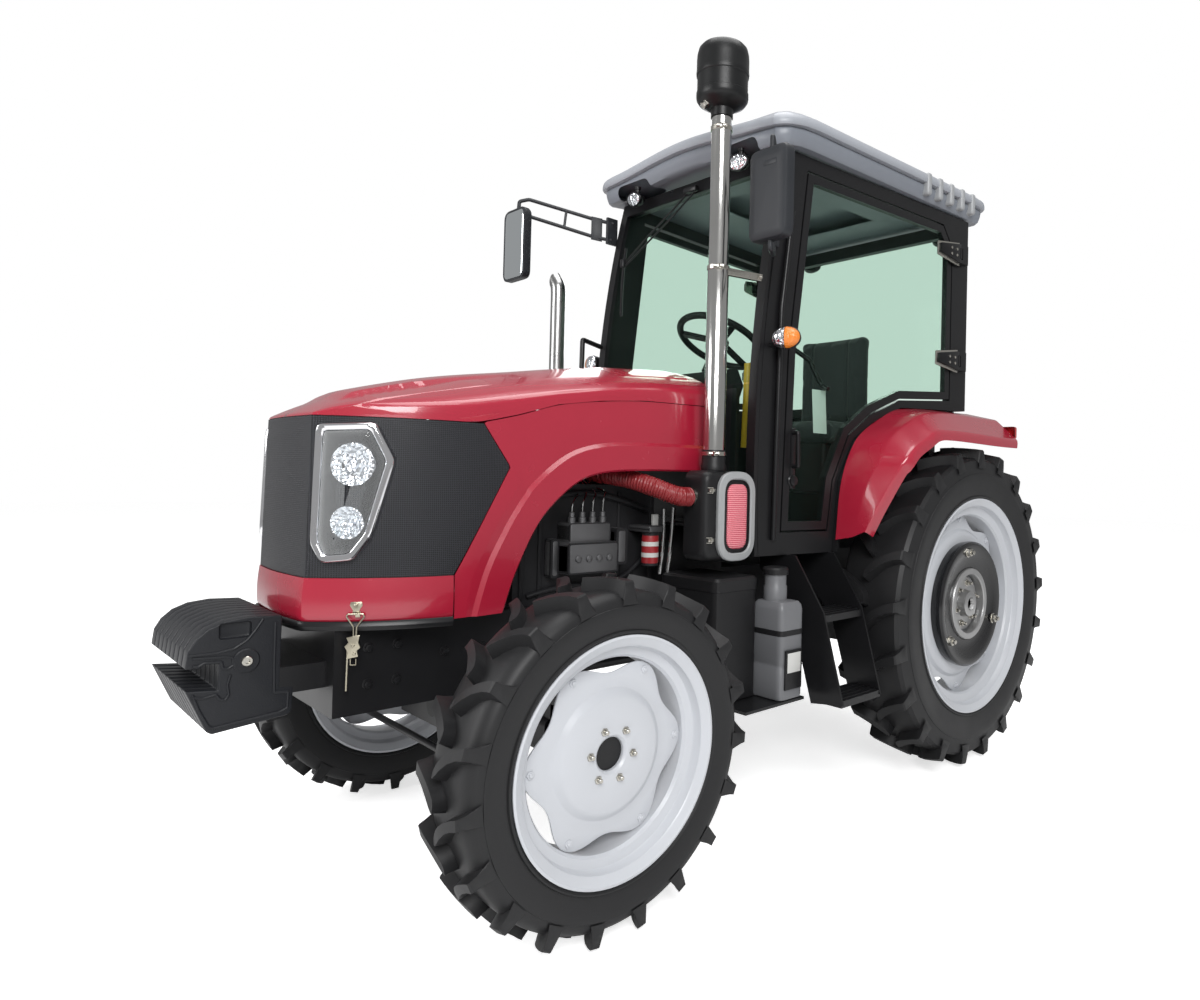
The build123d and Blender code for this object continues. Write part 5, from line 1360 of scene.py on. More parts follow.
# ---------------------------------------------------------------- air cleaner, intake pipe and exhaust
# The air cleaner is a black moulded box beside the cab's foot; a red side reflector in a pale frame is
# fixed on its outer face. The chromed pipe on it ends under the precleaner's black drum.
black_plastic = coated("black_plastic", (0.010, 0.010, 0.011), 0.42, grain=500, relief=0.12)
frame_grey = coated("pale_grey_frame", (0.33, 0.34, 0.345), 0.4, grain=200, relief=0.04)
chrome = coated("chromed_tube", (0.58, 0.575, 0.56), 0.16, metal=1.0, grain=30, relief=0.01, darker=0.9)


def ringed(corners, rounding, rows, place, steps=96, cap=True):
    """A form of one outline in steps. columns of its rows: how far inwards, how far out."""
    rows = [(k / (len(rows) - 1), *row) for k, row in enumerate(rows)]

    def form(u, v):
        inwards, out = straight(rows, v)
        across, height = round_outline(narrowed(corners, inwards), u, max(0.002, rounding - inwards))
        return place(across, height, out)

    piece = shaped_grid(steps, len(rows) - 1, form)
    if cap:
        last = len(piece.data.vertices) - (steps + 1)
        bpy.ops.object.mode_set(mode="EDIT")
        bpy.ops.mesh.select_mode(type="VERT")
        bpy.ops.mesh.select_all(action="DESELECT")
        mesh = bmesh.from_edit_mesh(piece.data)
        mesh.verts.ensure_lookup_table()
        for number in range(last, last + steps):
            mesh.verts[number].select_set(True)
        bmesh.update_edit_mesh(piece.data)
        bpy.ops.mesh.edge_face_add()
        bpy.ops.object.mode_set(mode="OBJECT")
    return piece


def rectangle(low_across, low_height, high_across, high_height):
    return [
        (low_across, high_height), (high_across, high_height), (high_across, low_height),
        (low_across, low_height),
    ]


def on_box(y, z, out):
    return out, y, z


box_front = rectangle(-0.485, 0.950, -0.245, 1.275)
rows = [
    (0.05, 0.3855), (0.006, 0.3855), (0, 0.392), (0, 0.470), (0.006, 0.488), (0.014, 0.496),
    (0.030, 0.5005),
]
ringed(box_front, 0.045, rows, on_box)
finish("air_cleaner_housing", 32, black_plastic, "chassis", "black_plastic", "air_cleaner")
frame_front = rectangle(-0.432, 0.952, -0.243, 1.273)
rows = [
    (0.003, 0.496), (0, 0.502), (0, 0.512), (0.003, 0.5165), (0.024, 0.5195), (0.028, 0.5165),
    (0.030, 0.512),
]
ringed(frame_front, 0.082, rows, on_box, cap=False)
finish("reflector_frame", 32, frame_grey, "chassis", "grey_plastic")
rows = [(0.029, 0.510), (0.030, 0.5155), (0.034, 0.517), (0.036, 0.511), (0.043, 0.511)]
ringed(frame_front, 0.082, rows, on_box)
finish("reflector_seat", 32, black_plastic, "chassis", "black_plastic")

reflector_red, tree, shader = node_material("ribbed_red_reflector")
shader.inputs["Base Color"].default_value = (0.62, 0.10, 0.13, 1)
shader.inputs["Roughness"].default_value = 0.12
shader.inputs["Coat Weight"].default_value = 0.6
place = add_node(tree, "TexCoord")
ribs = add_node(tree, "TexWave", Scale=45)
ribs.bands_direction = "Z"
tree.links.new(place.outputs["Object"], ribs.inputs["Vector"])
surface_relief(tree, shader, ribs.outputs["Fac"], 0.6, 0.003)
# the ribs are painted lighter pink on the rise of each wave and darker red in its trough: a painted highlight
# and painted shade that follow the relief's waves
colour_between(tree, shader, ribs.outputs["Fac"], (0.48, 0.04, 0.07, 1), (0.80, 0.30, 0.34, 1))
rows = [(0.044, 0.509), (0.045, 0.515), (0.050, 0.5185), (0.060, 0.520)]
ringed(frame_front, 0.082, rows, on_box)
finish("side_reflector", 40, reflector_red, "chassis", "lamp_red")
# two zinc clips on the box's front shoulder
clips = []
for z in (1.205, 1.03):
    clips.append(
        slab(
            [
                (0.497, -0.468, z - 0.006), (0.497, -0.440, z - 0.006), (0.497, -0.440, z + 0.006),
                (0.497, -0.468, z + 0.006),
            ],
            (0.007, 0, 0), 0.0015,
        )
    )
    clips.append(
        bent_tube(
            "clip",
            with_bends(
                [
                    (0.499, -0.475, z - 0.009), (0.507, -0.455, z - 0.009), (0.507, -0.455, z + 0.009),
                    (0.499, -0.475, z + 0.009),
                ],
                0.003,
            ),
            0.0016, 2,
        )
    )
finish("air_cleaner_clips", 35, bright_zinc, "chassis", "chrome", of=clips)

pipe_foot = Vector((0.432, -0.382, 0))
rows = [(1.2755, 0.046), (1.292, 0.047), (1.300, 0.043), (1.345, 0.043), (1.349, 0.041)]
turned(pipe_foot, (0, 0, 1), rows, 40)
finish("intake_rubber_foot", 35, black_plastic, "chassis", "black_plastic")
rows = [(1.325, 0.0395), (2.010, 0.0395), (2.014, 0.0370), (2.558, 0.0370), (2.5595, 0.035)]
turned(pipe_foot, (0, 0, 1), rows, 48)
finish("intake_chrome_pipe", 40, chrome, "chassis", "chrome", "intake_pipe")
bands = []
# columns: height, radius
for z, radius in [(1.329, 0.0455), (2.004, 0.0415), (2.512, 0.0405)]:
    bands.append(
        turned(
            pipe_foot + Vector((0, 0, z)), (0, 0, 1),
            [(0, radius - 0.002), (0, radius), (0.014, radius), (0.014, radius - 0.002)], 40,
        )
    )
    screw = pipe_foot + Vector((radius * 0.72, -radius * 0.72, z + 0.007))
    bands.append(
        turned(
            screw - Vector((0.012, 0.012, 0)), (1, 1, 0),
            [(0, 0.005), (0.030, 0.005), (0.031, 0.0075), (0.037, 0.0075)], 12,
        )
    )
    bands.append(
        block(screw - Vector((0.006, 0.006, 0.008)), screw + Vector((0.008, 0.004, 0.008)), 0.002, 2)
    )
# the stay to the windscreen pillar, and its bolt
bands.append(
    slab(
        [(0.462, -0.372, 1.986), (0.466, -0.366, 2.012), (0.497, -0.214, 2.012), (0.495, -0.220, 1.986)],
        (0.004, -0.001, 0), 0.001,
    )
)
bands.append(
    slab(
        [(0.462, -0.372, 1.986), (0.495, -0.220, 1.986), (0.483, -0.216, 1.986), (0.450, -0.368, 1.986)],
        (0, 0, 0.004), 0.001,
    )
)
bands.append(hexagon_bolt(Vector((0.497, -0.228, 2.000)), 0.009, 0.010))
finish("intake_clamps_and_stay", 30, bright_zinc, "chassis", "chrome", of=bands)

drum_black = coated("drum_black", (0.007, 0.0075, 0.008), 0.36, grain=500, relief=0.10)
drum_foot = Vector((0.432, -0.382, 2.5608))
rows = [
    (0.0, 0.0405), (0.030, 0.041), (0.034, 0.052), (0.052, 0.086), (0.062, 0.0935), (0.072, 0.0955),
    (0.086, 0.0955), (0.088, 0.093), (0.146, 0.093), (0.149, 0.0960), (0.158, 0.0972), (0.166, 0.0960),
    (0.208, 0.0958), (0.226, 0.0945), (0.246, 0.0895), (0.257, 0.080), (0.2615, 0.060), (0.2615, 0.004),
]
turned(drum_foot, (0, 0, 1), rows, 64)
finish("precleaner_drum", 30, drum_black, "chassis", "black_plastic", "precleaner")
nut_axis = Vector((-0.35, -0.75, -1)).normalized()
nut = turned(
    drum_foot + Vector((-0.020, -0.055, 0.050)), nut_axis,
    [(0, 0.017), (0.012, 0.017), (0.014, 0.014), (0.026, 0.014), (0.028, 0.011)], 6,
)
finish("precleaner_nut", 30, bright_zinc, "chassis", "chrome")

route = [
    (-0.1655, -0.500, 1.215), (-0.30, -0.500, 1.215), (-0.385, -0.500, 1.215), (-0.418, -0.500, 1.25),
    (-0.418, -0.500, 1.35), (-0.418, -0.500, 1.98), (-0.418, -0.500, 2.03), (-0.424, -0.500, 2.062),
    (-0.452, -0.500, 2.092),
]
exhaust_steel = coated(
    "exhaust_steel", (0.36, 0.36, 0.355), 0.28, metal=1.0, grain=60, relief=0.03, darker=0.8,
)
stack = bent_tube("exhaust_stack", route, 0.031, 8, 20)
bpy.ops.object.mode_set(mode="EDIT")
bpy.ops.mesh.select_all(action="SELECT")
bpy.ops.mesh.bisect(plane_co=(-0.440, -0.500, 2.080), plane_no=(-1.0, 0, 0.25), clear_outer=True)
bpy.ops.object.mode_set(mode="OBJECT")
change(stack, "SOLIDIFY", thickness=0.002, offset=-1)
finish("exhaust_stack", 40, exhaust_steel, "chassis", "chrome", "exhaust")

# ---------------------------------------------------------------- cab frame, floor and dash
# A welded cab of bent steel tube, painted black, on a moulded floor with its wheel housings. The dash and
# the steering wheel stand behind the windscreen, with a yellow grab strip at the left front.
dress(black_paint, "cab_frame", "carrier_left", "carrier_right", "seat_base")
dress(black_plastic, "cab_floor", "dash", "steering_wheel", "battery_box", "fuel_tank")
side_turn = math.atan2(0.115, 1.365)
side_back = Vector((math.sin(side_turn), math.cos(side_turn), 0))
side_out = Vector((math.cos(side_turn), -math.sin(side_turn), 0))


def on_side(back, height, out=0.0):
    """Place on the cab's left side: how far behind its front corner, height, and how far outside."""
    return Vector((0.500, -0.225, height)) + side_back * back + side_out * out


strip_yellow = coated("yellow_strip", (0.75, 0.42, 0.03), 0.4, grain=120, relief=0.03)
strip = bent_tube(
    "strip", [(0.360, -0.150, 1.37), (0.363, -0.146, 1.45), (0.366, -0.142, 1.62), (0.368, -0.142, 1.70)],
    0.017, 4,
)
take(strip)
bpy.ops.transform.resize(value=(1, 0.35, 1), center_override=(0.363, -0.146, 1.53))
finish("yellow_grab_strip", 35, strip_yellow, "chassis", "grey_plastic")
# guard tubes up the front pillars
guard_line = [
    on_side(0.085, 1.02, 0.010), on_side(0.088, 1.32, 0.012), on_side(0.100, 1.90, 0.012),
    on_side(0.150, 2.28, 0.010),
]
bent_tube("guard", with_bends(guard_line, 0.03), 0.010, 4)
finish_pair("left_pillar_guard", 40, black_paint, "chassis", "black_steel")
bent_tube(
    "grab",
    with_bends(
        [
            (-0.480, -0.222, 1.835), (-0.452, -0.345, 1.850), (-0.446, -0.352, 1.640),
            (-0.470, -0.235, 1.615),
        ],
        0.022,
    ),
    0.011, 4,
)
finish("right_grab_handle", 40, black_paint, "chassis", "black_steel")

# ---------------------------------------------------------------- seat
# A sprung driver's seat on a steel box: a cushion and a back of padded black cloth with a sewn channel
# across the cushion and two up the back.
seat_cloth, tree, shader = node_material("woven_seat_cloth")
shader.inputs["Roughness"].default_value = 0.9
shader.inputs["Sheen Weight"].default_value = 0.25
place = add_node(tree, "TexCoord")
weave = []
for direction in ("X", "Z"):
    thread = add_node(tree, "TexWave", Scale=160, Distortion=0.6)
    thread.bands_direction = direction
    tree.links.new(place.outputs["Object"], thread.inputs["Vector"])
    weave.append(thread)
crossed = add_node(tree, "Math")
crossed.operation = "MULTIPLY"
tree.links.new(weave[0].outputs["Fac"], crossed.inputs[0])
tree.links.new(weave[1].outputs["Fac"], crossed.inputs[1])
colour_between(tree, shader, crossed.outputs[0], (0.010, 0.010, 0.012, 1), (0.035, 0.035, 0.040, 1))
surface_relief(tree, shader, crossed.outputs[0], 0.2, 0.001)


def padded_pad(low, high, edge):
    """A padded cushion: a rounded block whose cloth skin is blown up, held within 14 mm of its pattern."""
    pad = block(low, high, edge, 4)
    change(pad, "REMESH", mode="VOXEL", voxel_size=0.006)
    pattern = [vertex.co.copy() for vertex in pad.data.vertices]
    cloth = pad.modifiers.new("cloth", "CLOTH")
    cloth.settings.use_pressure = True
    cloth.settings.uniform_pressure_force = 4
    cloth.settings.effector_weights.gravity = 0
    cloth.settings.quality = 5
    for number in range(1, 21):
        scene.frame_set(number)
    blown = pad.evaluated_get(bpy.context.evaluated_depsgraph_get())
    places = [vertex.co.copy() for vertex in blown.data.vertices]
    pad.modifiers.remove(cloth)
    for vertex, start, end in zip(pad.data.vertices, pattern, places):
        moved = end - start
        vertex.co = start + moved * min(1.0, 0.014 / max(moved.length, 1e-6))
    scene.frame_set(1)
    change(pad, "SUBSURF", levels=1, render_levels=1)
    return pad


def sew(pad, middle, towards, channels, half=0.007, deep=0.010):
    """Pulls sewn channels into a pad's face: narrow rows of it move in. columns: axis across, place."""
    for axis, place in channels:
        for vertex in pad.data.vertices:
            off = abs(vertex.co[axis] - place)
            if off < half * 3 and (vertex.co - middle).dot(towards) > 0:
                vertex.co -= towards * deep * math.exp(-((off / half) ** 2))


cushion = padded_pad((-0.226, 0.569, 1.4415), (0.226, 0.972, 1.522), 0.030)
sew(cushion, Vector((0, 0.770, 1.488)), Vector((0, 0, 1)), [(0, -0.120), (0, 0.120), (1, 0.700)])
cushion = seal_piece("seat_cushion", 60)
backrest = padded_pad((-0.210, 0.874, 1.535), (0.210, 0.946, 1.985), 0.030)
sew(backrest, Vector((0, 0.912, 1.72)), Vector((0, -1, 0)), [(0, -0.110), (0, 0.110), (2, 1.80)])
backrest = seal_piece("seat_back", 60)
for pad in (cushion, backrest):
    fit_piece(pad, seat_cloth, "chassis", "seat_cloth")
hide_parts("seat")

# ---------------------------------------------------------------- doors and windows
# Frameless sheets of thin green-tinted safety glass: a curved windscreen, the doors' panes in their black
# steel frames on outside hinges, and the rear window. The doors have a pull handle and a round lock.
glass, tree, shader = node_material("green_tinted_glass")
shader.inputs["Base Color"].default_value = (0.02, 0.035, 0.028, 1)
shader.inputs["Roughness"].default_value = 0.03
shader.inputs["IOR"].default_value = 1.5
clear = add_node(tree, "BsdfTransparent", Color=(0.875, 0.95, 0.91, 1))
sheet = add_node(tree, "MixShader", Fac=0.05)
tree.links.new(clear.outputs[0], sheet.inputs[1])
tree.links.new(shader.outputs[0], sheet.inputs[2])
tree.links.new(sheet.outputs[0], tree.nodes["Material Output"].inputs["Surface"])
dress(glass, "cab_glass", "door_left_glass", "door_right_glass")
dress(black_paint, "door_left_frame", "door_right_frame")
lock_black = coated("lock_black", (0.008, 0.008, 0.009), 0.3, grain=200, relief=0.05)
grip = bent_tube(
    "grip",
    with_bends(
        [
            on_side(0.190, 1.300, -0.002), on_side(0.190, 1.300, 0.030), on_side(0.186, 1.430, 0.030),
            on_side(0.186, 1.430, -0.002),
        ],
        0.012,
    ),
    0.0085, 4,
)
lock = turned(
    on_side(0.190, 1.245, -0.012), side_out,
    [(0, 0.024), (0.014, 0.024), (0.018, 0.020), (0.024, 0.019), (0.026, 0.014)], 28,
)
plate = slab(
    [
        on_side(0.176, 1.215, -0.002), on_side(0.204, 1.215, -0.002), on_side(0.202, 1.450, -0.002),
        on_side(0.176, 1.450, -0.002),
    ],
    side_out * 0.005, 0.002,
)
finish_pair("left_door_handle", 35, lock_black, "door_left", "black_plastic", of=(grip, lock, plate))
# the hinges' broad black leaves over a bright backing plate
leaves, backs = [], []
for z in (1.830, 2.340):
    for margin, out, thickness, pieces in ((0.000, 0.018, 0.016, leaves), (0.010, 0.012, 0.008, backs)):
        outline = [
            on_side(1.105 - margin, z - 0.022 - margin, out),
            on_side(1.262 + margin, z - 0.046 - margin, out),
        ]
        outline += [
            on_side(1.262 + margin, z + 0.046 + margin, out),
            on_side(1.105 - margin, z + 0.022 + margin, out),
        ]
        pieces.append(slab(outline, side_out * thickness, 0.004))
for pieces, name, material, slot in (
    (leaves, "hinge_leaves", lock_black, "black_plastic"), (backs, "hinge_backs", bright_zinc, "chrome"),
):
    piece = finish("left_" + name, 35, material, "door_left", slot, of=pieces)
    fit_piece(other_side(piece, "right_" + name), material, "door_right", slot)
screws = []
for z in (1.830, 2.340):
    for back, off in ((1.185, -0.014), (1.185, 0.014), (1.228, -0.014), (1.228, 0.014)):
        screws.append(
            turned(
                on_side(back, z + off, 0.0335), side_out, [(0, 0.0065), (0.003, 0.0062), (0.0045, 0.004)],
                14,
            )
        )
finish_pair("left_hinge_screws", 35, bright_zinc, "door_left", "chrome", of=screws)
# the pull inside the left door, and the blank card that hangs on it
bent_tube(
    "pull",
    with_bends(
        [
            on_side(0.150, 1.810, -0.014), on_side(0.165, 1.790, -0.050), on_side(0.330, 1.735, -0.055),
            on_side(0.395, 1.640, -0.050), on_side(0.400, 1.620, -0.014),
        ],
        0.03,
    ),
    0.010, 4,
)
finish("left_door_pull", 35, lock_black, "door_left", "black_plastic")
card_white = coated("blank_card", (0.62, 0.63, 0.62), 0.55, grain=120, relief=0.02)
slab(
    [
        on_side(0.345, 1.618, -0.052), on_side(0.345, 1.440, -0.040), on_side(0.425, 1.440, -0.040),
        on_side(0.425, 1.618, -0.052),
    ],
    side_out * 0.0015, 0.0004,
)
finish("blank_card_on_the_pull", 35, card_white, "door_left", "grey_plastic")

# wiper on the windscreen: two thin arms from the top and one hanging blade
arms = [
    bent_tube(
        "arm",
        [
            (-0.030, -0.118, 2.470), (-0.120, -0.140, 2.395), (-0.260, -0.172, 2.290),
            (-0.355, -0.196, 2.205),
        ],
        0.0042, 2,
    ),
    bent_tube(
        "arm",
        [(0.020, -0.118, 2.470), (-0.090, -0.142, 2.380), (-0.240, -0.176, 2.270), (-0.352, -0.198, 2.190)],
        0.0042, 2,
    ),
    bent_tube(
        "blade",
        [(-0.362, -0.186, 2.275), (-0.357, -0.202, 2.18), (-0.350, -0.214, 2.06), (-0.345, -0.218, 1.962)],
        0.0065, 2,
    ),
    block((-0.372, -0.212, 2.185), (-0.346, -0.192, 2.222), 0.004, 2),
    block((-0.045, -0.138, 2.462), (0.035, -0.112, 2.486), 0.006, 2),
]
finish("windscreen_wiper", 40, black_paint, "chassis", "black_steel", of=arms)

# ---------------------------------------------------------------- roof
# Two moulded tiers of grey plastic: a valance with pockets for the work lamps and a ribbed vent at the
# rear of each side, under a cap with a broad rounded edge. The valance's darker grey is painted shade
# under the cap, and the cap's lighter grey is a painted highlight.
# one grey in two copies: darker on the valance as painted shade under the cap, lighter on the cap as a
# painted highlight
roof_grey_painted_shade = coated("roof_grey_painted_shade", (0.185, 0.200, 0.228), 0.36, grain=300, relief=0.05, darker=0.95)
roof_cap_grey_painted_highlight = coated("roof_cap_grey_painted_highlight", (0.30, 0.315, 0.345), 0.34, grain=300, relief=0.05, darker=0.95)
vent_grey = coated("vent_grey", (0.34, 0.35, 0.36), 0.4, grain=200, relief=0.03)
roof_corners = [
    (-0.525, -0.210), (-0.585, -0.150), (-0.665, 1.220), (-0.615, 1.270), (0.615, 1.270), (0.665, 1.220),
    (0.585, -0.150), (0.525, -0.210),
]


def on_roof(x, y, height):
    # the front edge dips at both sides and rises in the middle
    nose = step_up(-0.02 - y, 0.0, 0.18)
    return x, y, height + nose * 0.018 * math.cos(min(1.0, abs(x) / 0.52) * math.pi)


rows = [
    (0.400, 2.5400), (0.100, 2.5380), (0.082, 2.5300), (0.060, 2.5275), (0.040, 2.5290), (0.030, 2.5380),
    (0.022, 2.5600), (0.018, 2.5800), (0.022, 2.5900), (0.030, 2.5960),
]
valance = ringed(roof_corners, 0.060, rows, on_roof, steps=160)
cutters = []
for side in (1, -1):
    cutters.append(
        block((side * 0.325 - 0.105, -0.215, 2.44), (side * 0.325 + 0.105, -0.060, 2.565), 0.030, 5)
    )
cutter = join_pieces(*cutters)
hold(valance)
change(valance, "BOOLEAN", object=cutter, operation="DIFFERENCE")
bpy.data.objects.remove(cutter)
finish("roof_valance", 35, roof_grey_painted_shade, "chassis", "grey_plastic")
rows = [
    (0.030, 2.5930), (0.004, 2.5945), (0.000, 2.6000), (0.000, 2.6120), (0.004, 2.6260), (0.016, 2.6400),
    (0.040, 2.6540), (0.080, 2.6660), (0.140, 2.6760), (0.230, 2.6820), (0.420, 2.6870),
]
cap = ringed(roof_corners, 0.060, rows, on_roof, steps=160)
finish("roof_cap", 40, roof_cap_grey_painted_highlight, "chassis", "grey_plastic", "roof")
ribs = []
for k in range(5):
    y = 0.720 + k * 0.092
    x = 0.585 + 0.080 * (y + 0.150) / 1.370
    ribs.append(block((x - 0.060, y, 2.540), (x + 0.006, y + 0.034, 2.640), 0.012, 4))
finish_pair("left_roof_vent_ribs", 35, vent_grey, "chassis", "grey_plastic", of=ribs)

# ---------------------------------------------------------------- work lamps and turn lamps
# Oval work lamps hang in the roof's pockets, front and rear, on small pivots. The turn lamps on the
# windscreen pillars are half clear and half amber, in black cups.
amber, tree, shader = node_material("amber_lens")
shader.inputs["Base Color"].default_value = (0.72, 0.20, 0.02, 1)
shader.inputs["Roughness"].default_value = 0.12
shader.inputs["Coat Weight"].default_value = 0.5
place = add_node(tree, "TexCoord")
cells = add_node(tree, "TexVoronoi", Scale=160)
tree.links.new(place.outputs["Object"], cells.inputs["Vector"])
surface_relief(tree, shader, cells.outputs["Distance"], 0.7, 0.003)
lamp_silver = faceted_silver.copy()
lamp_silver.name = "lamp_silver"
shells, lights = [], []
# columns: side, place along, faces
for side, y, faces in [(1, -0.178, -1), (-1, -0.178, -1), (1, 1.238, 1), (-1, 1.238, 1)]:
    x = side * (0.322 if faces < 0 else 0.420)
    middle = Vector((x, y, 2.489))
    axis = Vector((side * 0.10, faces, -0.22)).normalized()
    start = middle - axis * 0.018
    shell = turned(
        start, axis,
        [(-0.020, 0.020), (-0.012, 0.036), (0.004, 0.046), (0.020, 0.048), (0.024, 0.046), (0.024, 0.042)],
        40,
    )
    light = turned(
        start, axis, [(0.010, 0.043), (0.0225, 0.0425), (0.027, 0.034), (0.029, 0.018), (0.0295, 0.002)],
        40,
    )
    for piece in (shell, light):
        take(piece)
        bpy.ops.transform.resize(value=(1.12, 1, 0.64), center_override=start)
        bpy.ops.object.mode_set(mode="OBJECT")
    stem = turned(
        start + Vector((0, 0, 0.024)), (0, 0, 1),
        [(0, 0.011), (0.020, 0.011), (0.022, 0.014), (0.034, 0.014)], 14,
    )
    shells += [shell, stem]
    lights.append(light)
finish("work_lamp_shells", 35, lock_black, "chassis", "black_plastic", "cab_lamps", of=shells)
finish("work_lamp_lenses", 35, lamp_silver, "chassis", "lamp_glass", of=lights)
cup_axis = Vector((0.35, -0.93, 0.02)).normalized()
cup = Vector((0.590, -0.172, 1.770))
rows = [(-0.016, 0.026), (-0.006, 0.040), (0.012, 0.0435), (0.014, 0.041)]
shell = turned(cup, cup_axis, rows, 40)
rows = [(0.010, 0.0415), (0.016, 0.041), (0.026, 0.036), (0.033, 0.025), (0.036, 0.012), (0.0365, 0.001)]
halves = []
for turn in (1, -1):
    half = turned(cup, cup_axis, rows, 40)
    bpy.ops.object.mode_set(mode="EDIT")
    bpy.ops.mesh.select_all(action="SELECT")
    across = Vector((0.93, 0.35, 0)).normalized()
    bpy.ops.mesh.bisect(
        plane_co=cup + across * 0.001 * turn, plane_no=across * turn, clear_inner=True, use_fill=True,
    )
    bpy.ops.object.mode_set(mode="OBJECT")
    halves.append(half)
for piece in [shell] + halves:
    take(piece)
    bpy.ops.transform.resize(value=(1.36, 1.2, 0.98), center_override=cup)
    bpy.ops.object.mode_set(mode="OBJECT")
stem = bent_tube(
    "stem",
    [cup + Vector((-0.010, 0.012, -0.010)), cup + Vector((-0.040, 0.014, -0.014)), (0.500, -0.165, 1.755)],
    0.011, 3,
)
shell = finish("left_turn_lamp_cup", 35, lock_black, "chassis", "black_plastic", of=(shell, stem))
take(halves[0])
outer_half = finish("left_turn_lamp_amber", 40, amber, "chassis", "lamp_red")
take(halves[1])
inner_half = finish("left_turn_lamp_clear", 40, lamp_silver, "chassis", "lamp_glass")
for piece, material, slot in (
    (shell, lock_black, "black_plastic"), (outer_half, amber, "lamp_red"),
    (inner_half, lamp_silver, "lamp_glass"),
):
    fit_piece(other_side(piece, piece.name.replace("left", "right")), material, "chassis", slot)

# ---------------------------------------------------------------- mirrors
# Rounded black plastic shells on bent steel tube. The left one shows its back; the right one, on a rail
# of two tubes with a strut, has been turned so that its glass faces forward.
shell_black = coated("mirror_shell", (0.022, 0.024, 0.028), 0.42, grain=600, relief=0.15)
mirror_glass, tree, shader = node_material("mirror_glass")
shader.inputs["Base Color"].default_value = (0.72, 0.76, 0.78, 1)
shader.inputs["Metallic"].default_value = 1.0
shader.inputs["Roughness"].default_value = 0.02
left_face = rectangle(0.567, 2.078, 0.743, 2.402)
rows = [
    (0.030, -0.334), (0.008, -0.334), (0.006, -0.331), (0.000, -0.334), (0.000, -0.362), (0.005, -0.372),
    (0.016, -0.378), (0.040, -0.3798),
]
head = ringed(left_face, 0.034, rows, lambda across, height, out: (across, out, height), steps=80)
mark = slab(
    [(0.640, -0.3785, 2.350), (0.700, -0.3785, 2.350), (0.700, -0.3785, 2.332), (0.640, -0.3785, 2.332)],
    (0, -0.0025, 0), 0.001,
)
arms = [
    bent_tube(
        "arm",
        with_bends(
            [
                (0.512, -0.148, 2.330), (0.560, -0.200, 2.345), (0.650, -0.345, 2.448),
                (0.655, -0.352, 2.385),
            ],
            0.016,
        ),
        0.009, 4,
    ),
    bent_tube(
        "arm",
        with_bends(
            [
                (0.512, -0.176, 2.150), (0.600, -0.270, 2.055), (0.655, -0.350, 2.050),
                (0.655, -0.352, 2.095),
            ],
            0.016,
        ),
        0.009, 4,
    ),
    block((0.505, -0.178, 2.305), (0.520, -0.118, 2.355), 0.004, 2),
    block((0.505, -0.206, 2.125), (0.520, -0.146, 2.175), 0.004, 2),
]
finish("left_mirror", 32, shell_black, "chassis", "black_plastic", "mirrors", of=(head, mark, *arms))
rows = [(0.011, -0.3335), (0.014, -0.3318), (0.045, -0.3310)]
ringed(left_face, 0.034, rows, lambda across, height, out: (across, out, height), steps=80)
finish("left_mirror_glass", 32, mirror_glass, "chassis", "clear_glass")

right_face = rectangle(-0.826, 2.123, -0.650, 2.447)
rows = [
    (0.030, -0.533), (0.009, -0.533), (0.006, -0.5358), (0.000, -0.531), (0.000, -0.505), (0.006, -0.494),
    (0.018, -0.488), (0.045, -0.4865),
]
head = ringed(right_face, 0.040, rows, lambda across, height, out: (across, out, height), steps=80)
rails = [
    bent_tube(
        "rail",
        with_bends(
            [
                (-0.505, -0.150, 2.425), (-0.560, -0.210, 2.440), (-0.722, -0.470, 2.503),
                (-0.745, -0.505, 2.490), (-0.745, -0.510, 2.43),
            ],
            0.020,
        ),
        0.0085, 4,
    ),
    bent_tube(
        "rail",
        with_bends([(-0.505, -0.160, 2.345), (-0.560, -0.215, 2.358), (-0.735, -0.495, 2.432)], 0.020),
        0.0085, 4,
    ),
    bent_tube("strut", [(-0.633, -0.327, 2.468), (-0.635, -0.335, 2.390)], 0.006, 3),
    slab(
        [
            (-0.540, -0.190, 2.445), (-0.568, -0.232, 2.452), (-0.568, -0.232, 2.345),
            (-0.540, -0.190, 2.338),
        ],
        (0.006, -0.004, 0), 0.001,
    ),
    block((-0.520, -0.185, 2.325), (-0.505, -0.125, 2.450), 0.004, 2),
]
finish("right_mirror", 32, shell_black, "chassis", "black_plastic", of=(head, *rails))
rows = [(0.011, -0.5335), (0.014, -0.5352), (0.045, -0.5356)]
ringed(right_face, 0.040, rows, lambda across, height, out: (across, out, height), steps=80)
finish("right_mirror_glass", 32, mirror_glass, "chassis", "clear_glass")

# ---------------------------------------------------------------- fenders and rear lamps
# Pressed steel fenders in the hood's crimson, bolted along the cab's foot. Each slopes down to the
# outside, rolls over into a lip above the tyre and narrows to a foot at the front.
# columns: share of the way back, place along, height
fender_lines = [
    (
        0.0,
        [
            (0.00, 0.202, 1.010), (0.18, 0.234, 1.248), (0.34, 0.322, 1.412), (0.48, 0.460, 1.500),
            (0.64, 0.650, 1.574), (1.00, 1.275, 1.596),
        ],
    ),
    (
        0.6,
        [
            (0.00, 0.205, 1.025), (0.18, 0.237, 1.238), (0.34, 0.324, 1.400), (0.48, 0.465, 1.492),
            (0.64, 0.650, 1.552), (1.00, 1.275, 1.560),
        ],
    ),
    (
        1.0,
        [
            (0.00, 0.207, 1.050), (0.18, 0.242, 1.190), (0.34, 0.312, 1.352), (0.48, 0.440, 1.428),
            (0.64, 0.579, 1.470), (1.00, 1.275, 1.466),
        ],
    ),
]


